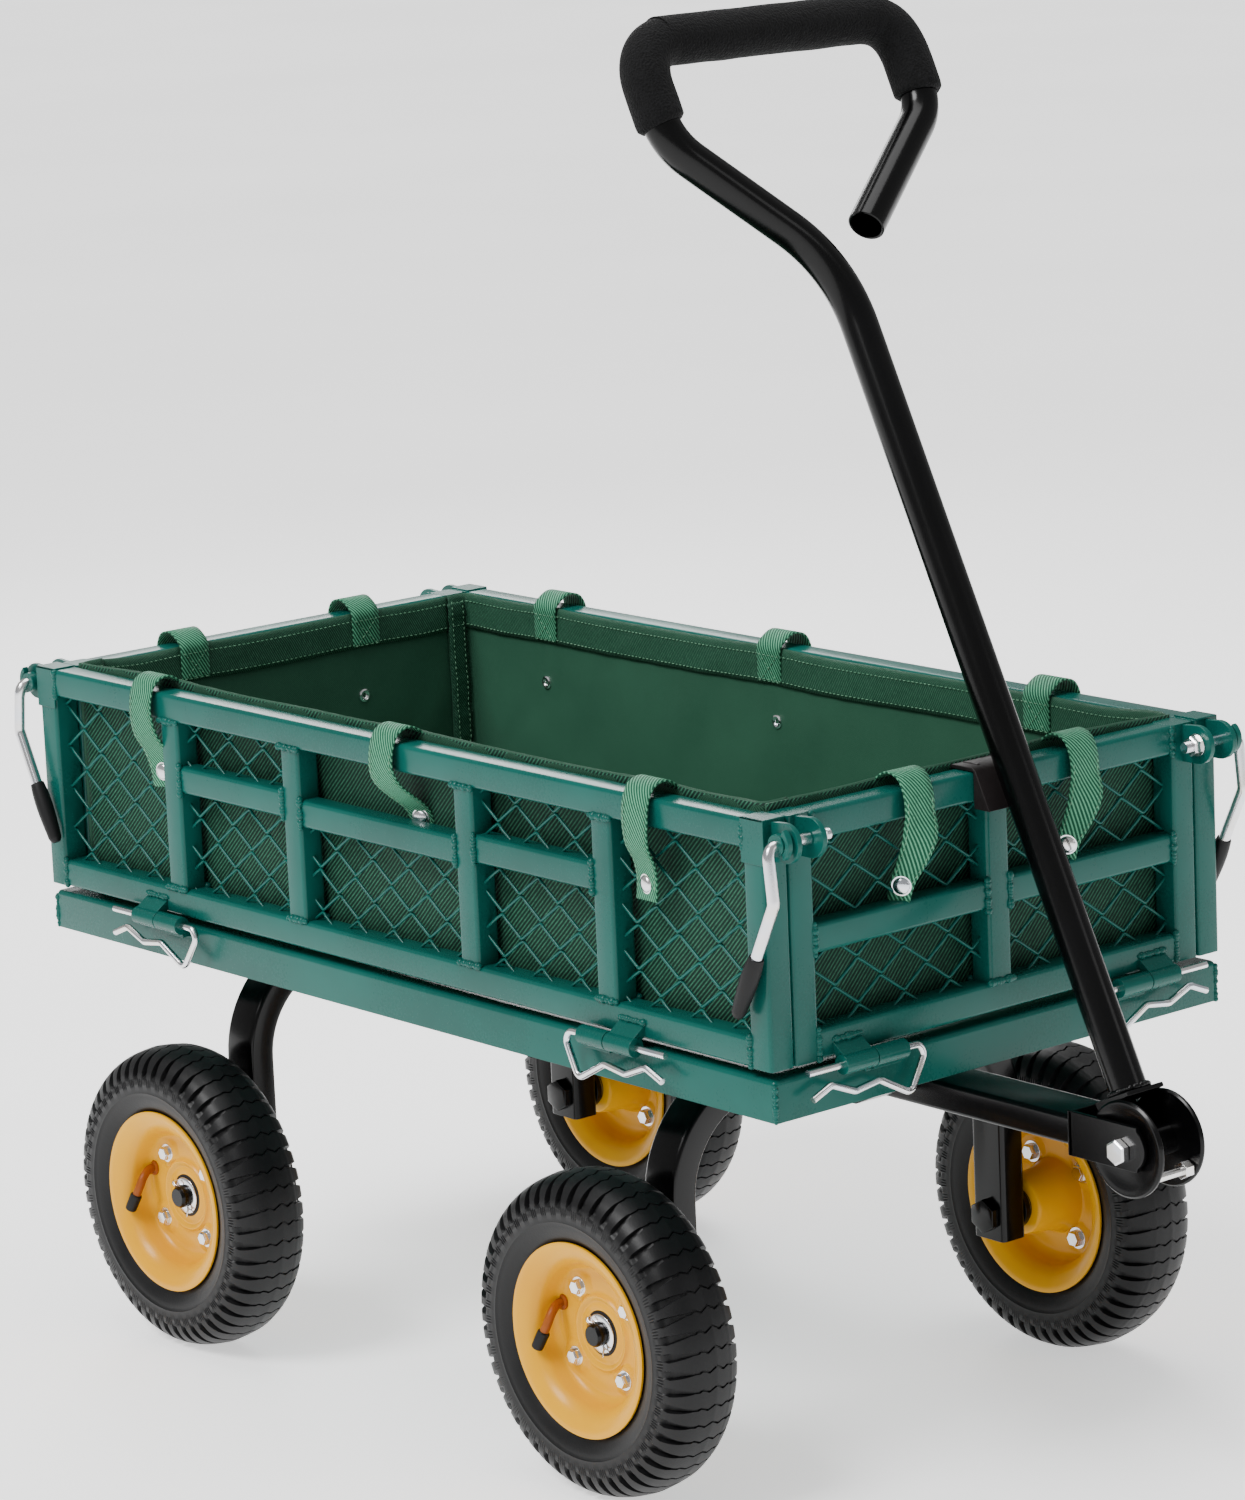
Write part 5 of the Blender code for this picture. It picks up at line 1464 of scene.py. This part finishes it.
# a webbing loop: sewn inside the hem, up over the rail and down outside to its snap
def makeStrap(side, number, x, drift, turn, body, top):
    up = panelTop
    inside = liner["depth"] + 0.0040
    through = side in ("left", "right") and number == 1
    points = [(0, inside, top - 0.024), (0, inside, top - 0.010), (0, inside - 0.0004, up + 0.0005),
              (0, tube * 0.82, up + 0.0082), (0, tube * 0.42, up + 0.0098), (0, 0.0000, up + 0.0062),
              (0, -0.0048, up - 0.0040), (0, -0.0060, up - 0.0180)]
    if through:
        points += [(0, -0.0020, up - 0.0290), (0, 0.0080, up - 0.0390), (0, 0.0160, up - 0.0465),
                   (0, 0.0194, up - 0.0540), (0, 0.0199, up - 0.0660)]
    elif side in ("left", "right"):
        points += [(0, -0.0042, up - 0.0320), (0, 0.0020, up - 0.0440), (0, 0.0050, up - 0.0560),
                   (0, 0.0052, up - 0.0700)]
    else:
        points += [(0, -0.0066, up - 0.0330), (0, -0.0015, up - 0.0480), (0, 0.0060, up - 0.0640),
                   (0, 0.0075, up - 0.0760)]
    fine = smoothPath(points, 70)
    loose = 1.05 if side == "front" else 0.30 if side == "rear" else 0.45 if through else 0.22
    narrow = {"front": 0.42, "rear": 0.30}.get(side, 0.34 if through else 0.0)

    def taper(t):
        return 1 - narrow * max(0.0, t - 0.62) / 0.38

    path, across, facing = [], [], []
    for i, p in enumerate(fine):
        late = max(0.0, i / (len(fine) - 1) - 0.55) / 0.45
        path.append(turn @ Vector((x + drift * late ** 1.3, p[1], p[2])))
        twist = loose * math.sin(late * 1.9) * (1 if drift >= 0 else -1)
        across.append((turn.to_3x3() @ Vector((math.cos(twist), math.sin(twist) * 0.8, 0.06 * late))).normalized())
    out = turn.to_3x3() @ Vector((0, -1, 0))
    for i, side0 in enumerate(across):
        along = path[min(i + 1, len(path) - 1)] - path[max(i - 1, 0)]
        facing.append(side0.cross(along).normalized())
        if facing[-1].dot(facing[-2] if i else -out) < 0:
            facing[-1].negate()
    bm = bmesh.new()
    uv = bm.loops.layers.uv.new("cut")
    stripMesh(bm, path, across, liner["strapWide"], uv, taper=taper)
    strap = makePiece(f"strap_{side}{number}", bm, webbing, body, sharp=180.0, fix=False)
    wall = strap.modifiers.new("thickness", "SOLIDIFY")
    wall.thickness = liner["strapThick"]
    wall.offset = 0
    # box of stitches where it is sewn to the hem
    box = []
    w, depth = 0.0095, inside + 0.0010
    for x0, z0, x1, z1 in ((-w, -0.0235, w, -0.0235), (-w, -0.0045, w, -0.0045), (-w, -0.0235, w, -0.0045),
                           (-w, -0.0045, w, -0.0235)):
        box.append([turn @ Vector((x + x0, depth, top + z0)), turn @ Vector((x + x1, depth, top + z1))])
    edges = []
    for way in (-1, 1):
        edges.append([path[i] + facing[i] * 0.0009
                      + across[i] * way * (liner["strapWide"] / 2 * taper(i / (len(path) - 1)) - 0.0020)
                      for i in range(34, 66, 2)])
    # the snap: cap on the outside, ring rivet on the inside of the wall
    end, cap = path[-7], facing[-7]
    bm = bmesh.new()
    addRod(bm, end + cap * 0.0004, end + cap * 0.0014, 0.0066, 32)
    addDome(bm, end + cap * 0.0013, cap, 0.0058, 0.0024, 32)
    local = turn.inverted() @ end
    z = local.z
    wallIn = liner["depth"] + wallBulge(side, local.x, z, liner["halfLong"] if side in ("left", "right")
                                        else liner["halfEnd"])
    rivet = turn @ Vector((local.x, wallIn, z))
    addRivet(bm, rivet - out * 0.0001, -out)
    snap = makePiece(f"snap_{side}{number}", bm, brightZinc, body, sharp=40.0)
    return strap, snap, box + edges


def addRivet(bm, centre, facing):
    turn = facing.to_track_quat("Y", "Z").to_matrix().to_4x4()
    before = set(bm.verts)
    addTurned(bm, [(0.0016, 0.0), (0.0052, 0.0), (0.0050, 0.0010), (0.0040, 0.0016), (0.0028, 0.0014),
                   (0.0018, 0.0006)], (0, 0, 0), 1, 36)
    moveNew(bm, before, Matrix.Translation(centre) @ turn)


for side in panelTurn:
    makeWall(side)


def makeFloor():
    lo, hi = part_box("liner_floor")

    def spot(u, v):
        x, y = lo.x + (hi.x - lo.x) * u, lo.y + (hi.y - lo.y) * v
        edge = min(u, 1 - u, v, 1 - v)
        slack = min(1.0, edge / 0.06)
        folds = noise.noise(Vector((x * 7 + y * 3, y * 9, 0))) * 0.0030
        folds += noise.noise(Vector((x * 30, y * 26, 3))) * 0.0007
        return Vector((x, y, hi.z + max(0.0, folds + 0.0006) * slack)), (x, y)

    bm = bmesh.new()
    uv = bm.loops.layers.uv.new("cut")
    sheetMesh(bm, uv, 120, 64, spot)
    floor = clothPiece("linerFloorSheet", bm, [linerInside, linerOutside], "chassis", ["liner_floor"],
                       liner["thick"], "floor")
    lines = []
    for inset in (0.006, 0.012):
        x0, x1, y0, y1 = lo.x + inset, hi.x - inset, lo.y + inset, hi.y - inset
        z = hi.z + 0.0004
        lines.append([(x0, y0, z), (x1, y0, z), (x1, y1, z), (x0, y1, z), (x0, y0, z)])
    thread = makeStitches("floorThread", lines, "chassis")


makeFloor()
print("liner made")


def makeStage():
    mat, tree, shader = startMaterial("paleFloor", rough=0.6, specular=0.2)
    where = addNode(tree, "ShaderNodeTexCoord").outputs["Object"]
    cloud = noiseOf(tree, where, 1.2, 3.0).outputs["Fac"]
    tone = rampOf(tree, cloud, [(0.3, (0.90, 0.90, 0.90)), (0.7, (0.94, 0.94, 0.94))])
    tree.links.new(tone, shader.inputs["Base Color"])
    tree.links.new(tone, shader.inputs["Emission Color"])
    shader.inputs["Emission Strength"].default_value = 0.95
    bm = bmesh.new()
    bmesh.ops.create_grid(bm, x_segments=2, y_segments=2, size=14)
    mesh = bpy.data.meshes.new("floor")
    bm.to_mesh(mesh)
    bm.free()
    mesh.materials.append(mat)
    floor = bpy.data.objects.new("floor", mesh)
    bpy.context.scene.collection.objects.link(floor)
    world = bpy.data.worlds.new("studio")
    bpy.context.scene.world = world
    world.use_nodes = True
    back = world.node_tree.nodes["Background"]
    back.inputs["Color"].default_value = (1.0, 1.0, 1.0, 1)
    back.inputs["Strength"].default_value = 0.40
    sun = bpy.data.lights.new("window", "SUN")
    sun.energy = 2.7
    sun.angle = math.radians(24)
    lamps = (("key", (0.7, -2.8, 2.6), 1.6, 24.0, sun), ("fill", (3.4, 1.4, 1.7), 1.0, 6.0, None),
             ("top", (-0.4, 0.3, 3.2), 2.2, 60.0, None), ("rim", (-2.6, 1.6, 1.8), 1.2, 30.0, None))
    for name, spot, size, power, also in lamps:
        data = bpy.data.lights.new(name, "AREA")
        data.shape = "SQUARE"
        data.size = size
        data.energy = power
        for each, at in ((data, spot), (also, (-0.25, -1.8, 2.6))):
            if each is None:
                continue
            lamp = bpy.data.objects.new(each.name, each)
            bpy.context.scene.collection.objects.link(lamp)
            lamp.location = at
            lamp.rotation_euler = (Vector((-0.05, 0, 0.3)) - Vector(at)).to_track_quat("-Z", "Y").to_euler()


camera = {"azimuth": 50.259, "elevation": 12.059, "roll": -2.507, "lens": 129.27, "at": (2.8505, -2.3512, 1.2229)}


def makeCamera():
    a, e, t = (math.radians(camera[key]) for key in ("azimuth", "elevation", "roll"))
    back = Vector((math.sin(a) * math.cos(e), -math.cos(a) * math.cos(e), math.sin(e)))
    right = Vector((0, 0, 1)).cross(back).normalized()
    up = back.cross(right)
    right, up = right * math.cos(t) + up * math.sin(t), up * math.cos(t) - right * math.sin(t)
    data = bpy.data.cameras.new("view")
    data.lens = camera["lens"]
    data.sensor_width = 36
    view = bpy.data.objects.new("view", data)
    bpy.context.scene.collection.objects.link(view)
    turn = Matrix((right, up, back)).transposed().to_4x4()
    view.matrix_world = Matrix.Translation(Vector(camera["at"]) + Vector((bedX, 0, 0))) @ turn
    bpy.context.scene.camera = view


makeStage()
makeCamera()
print("stage set")
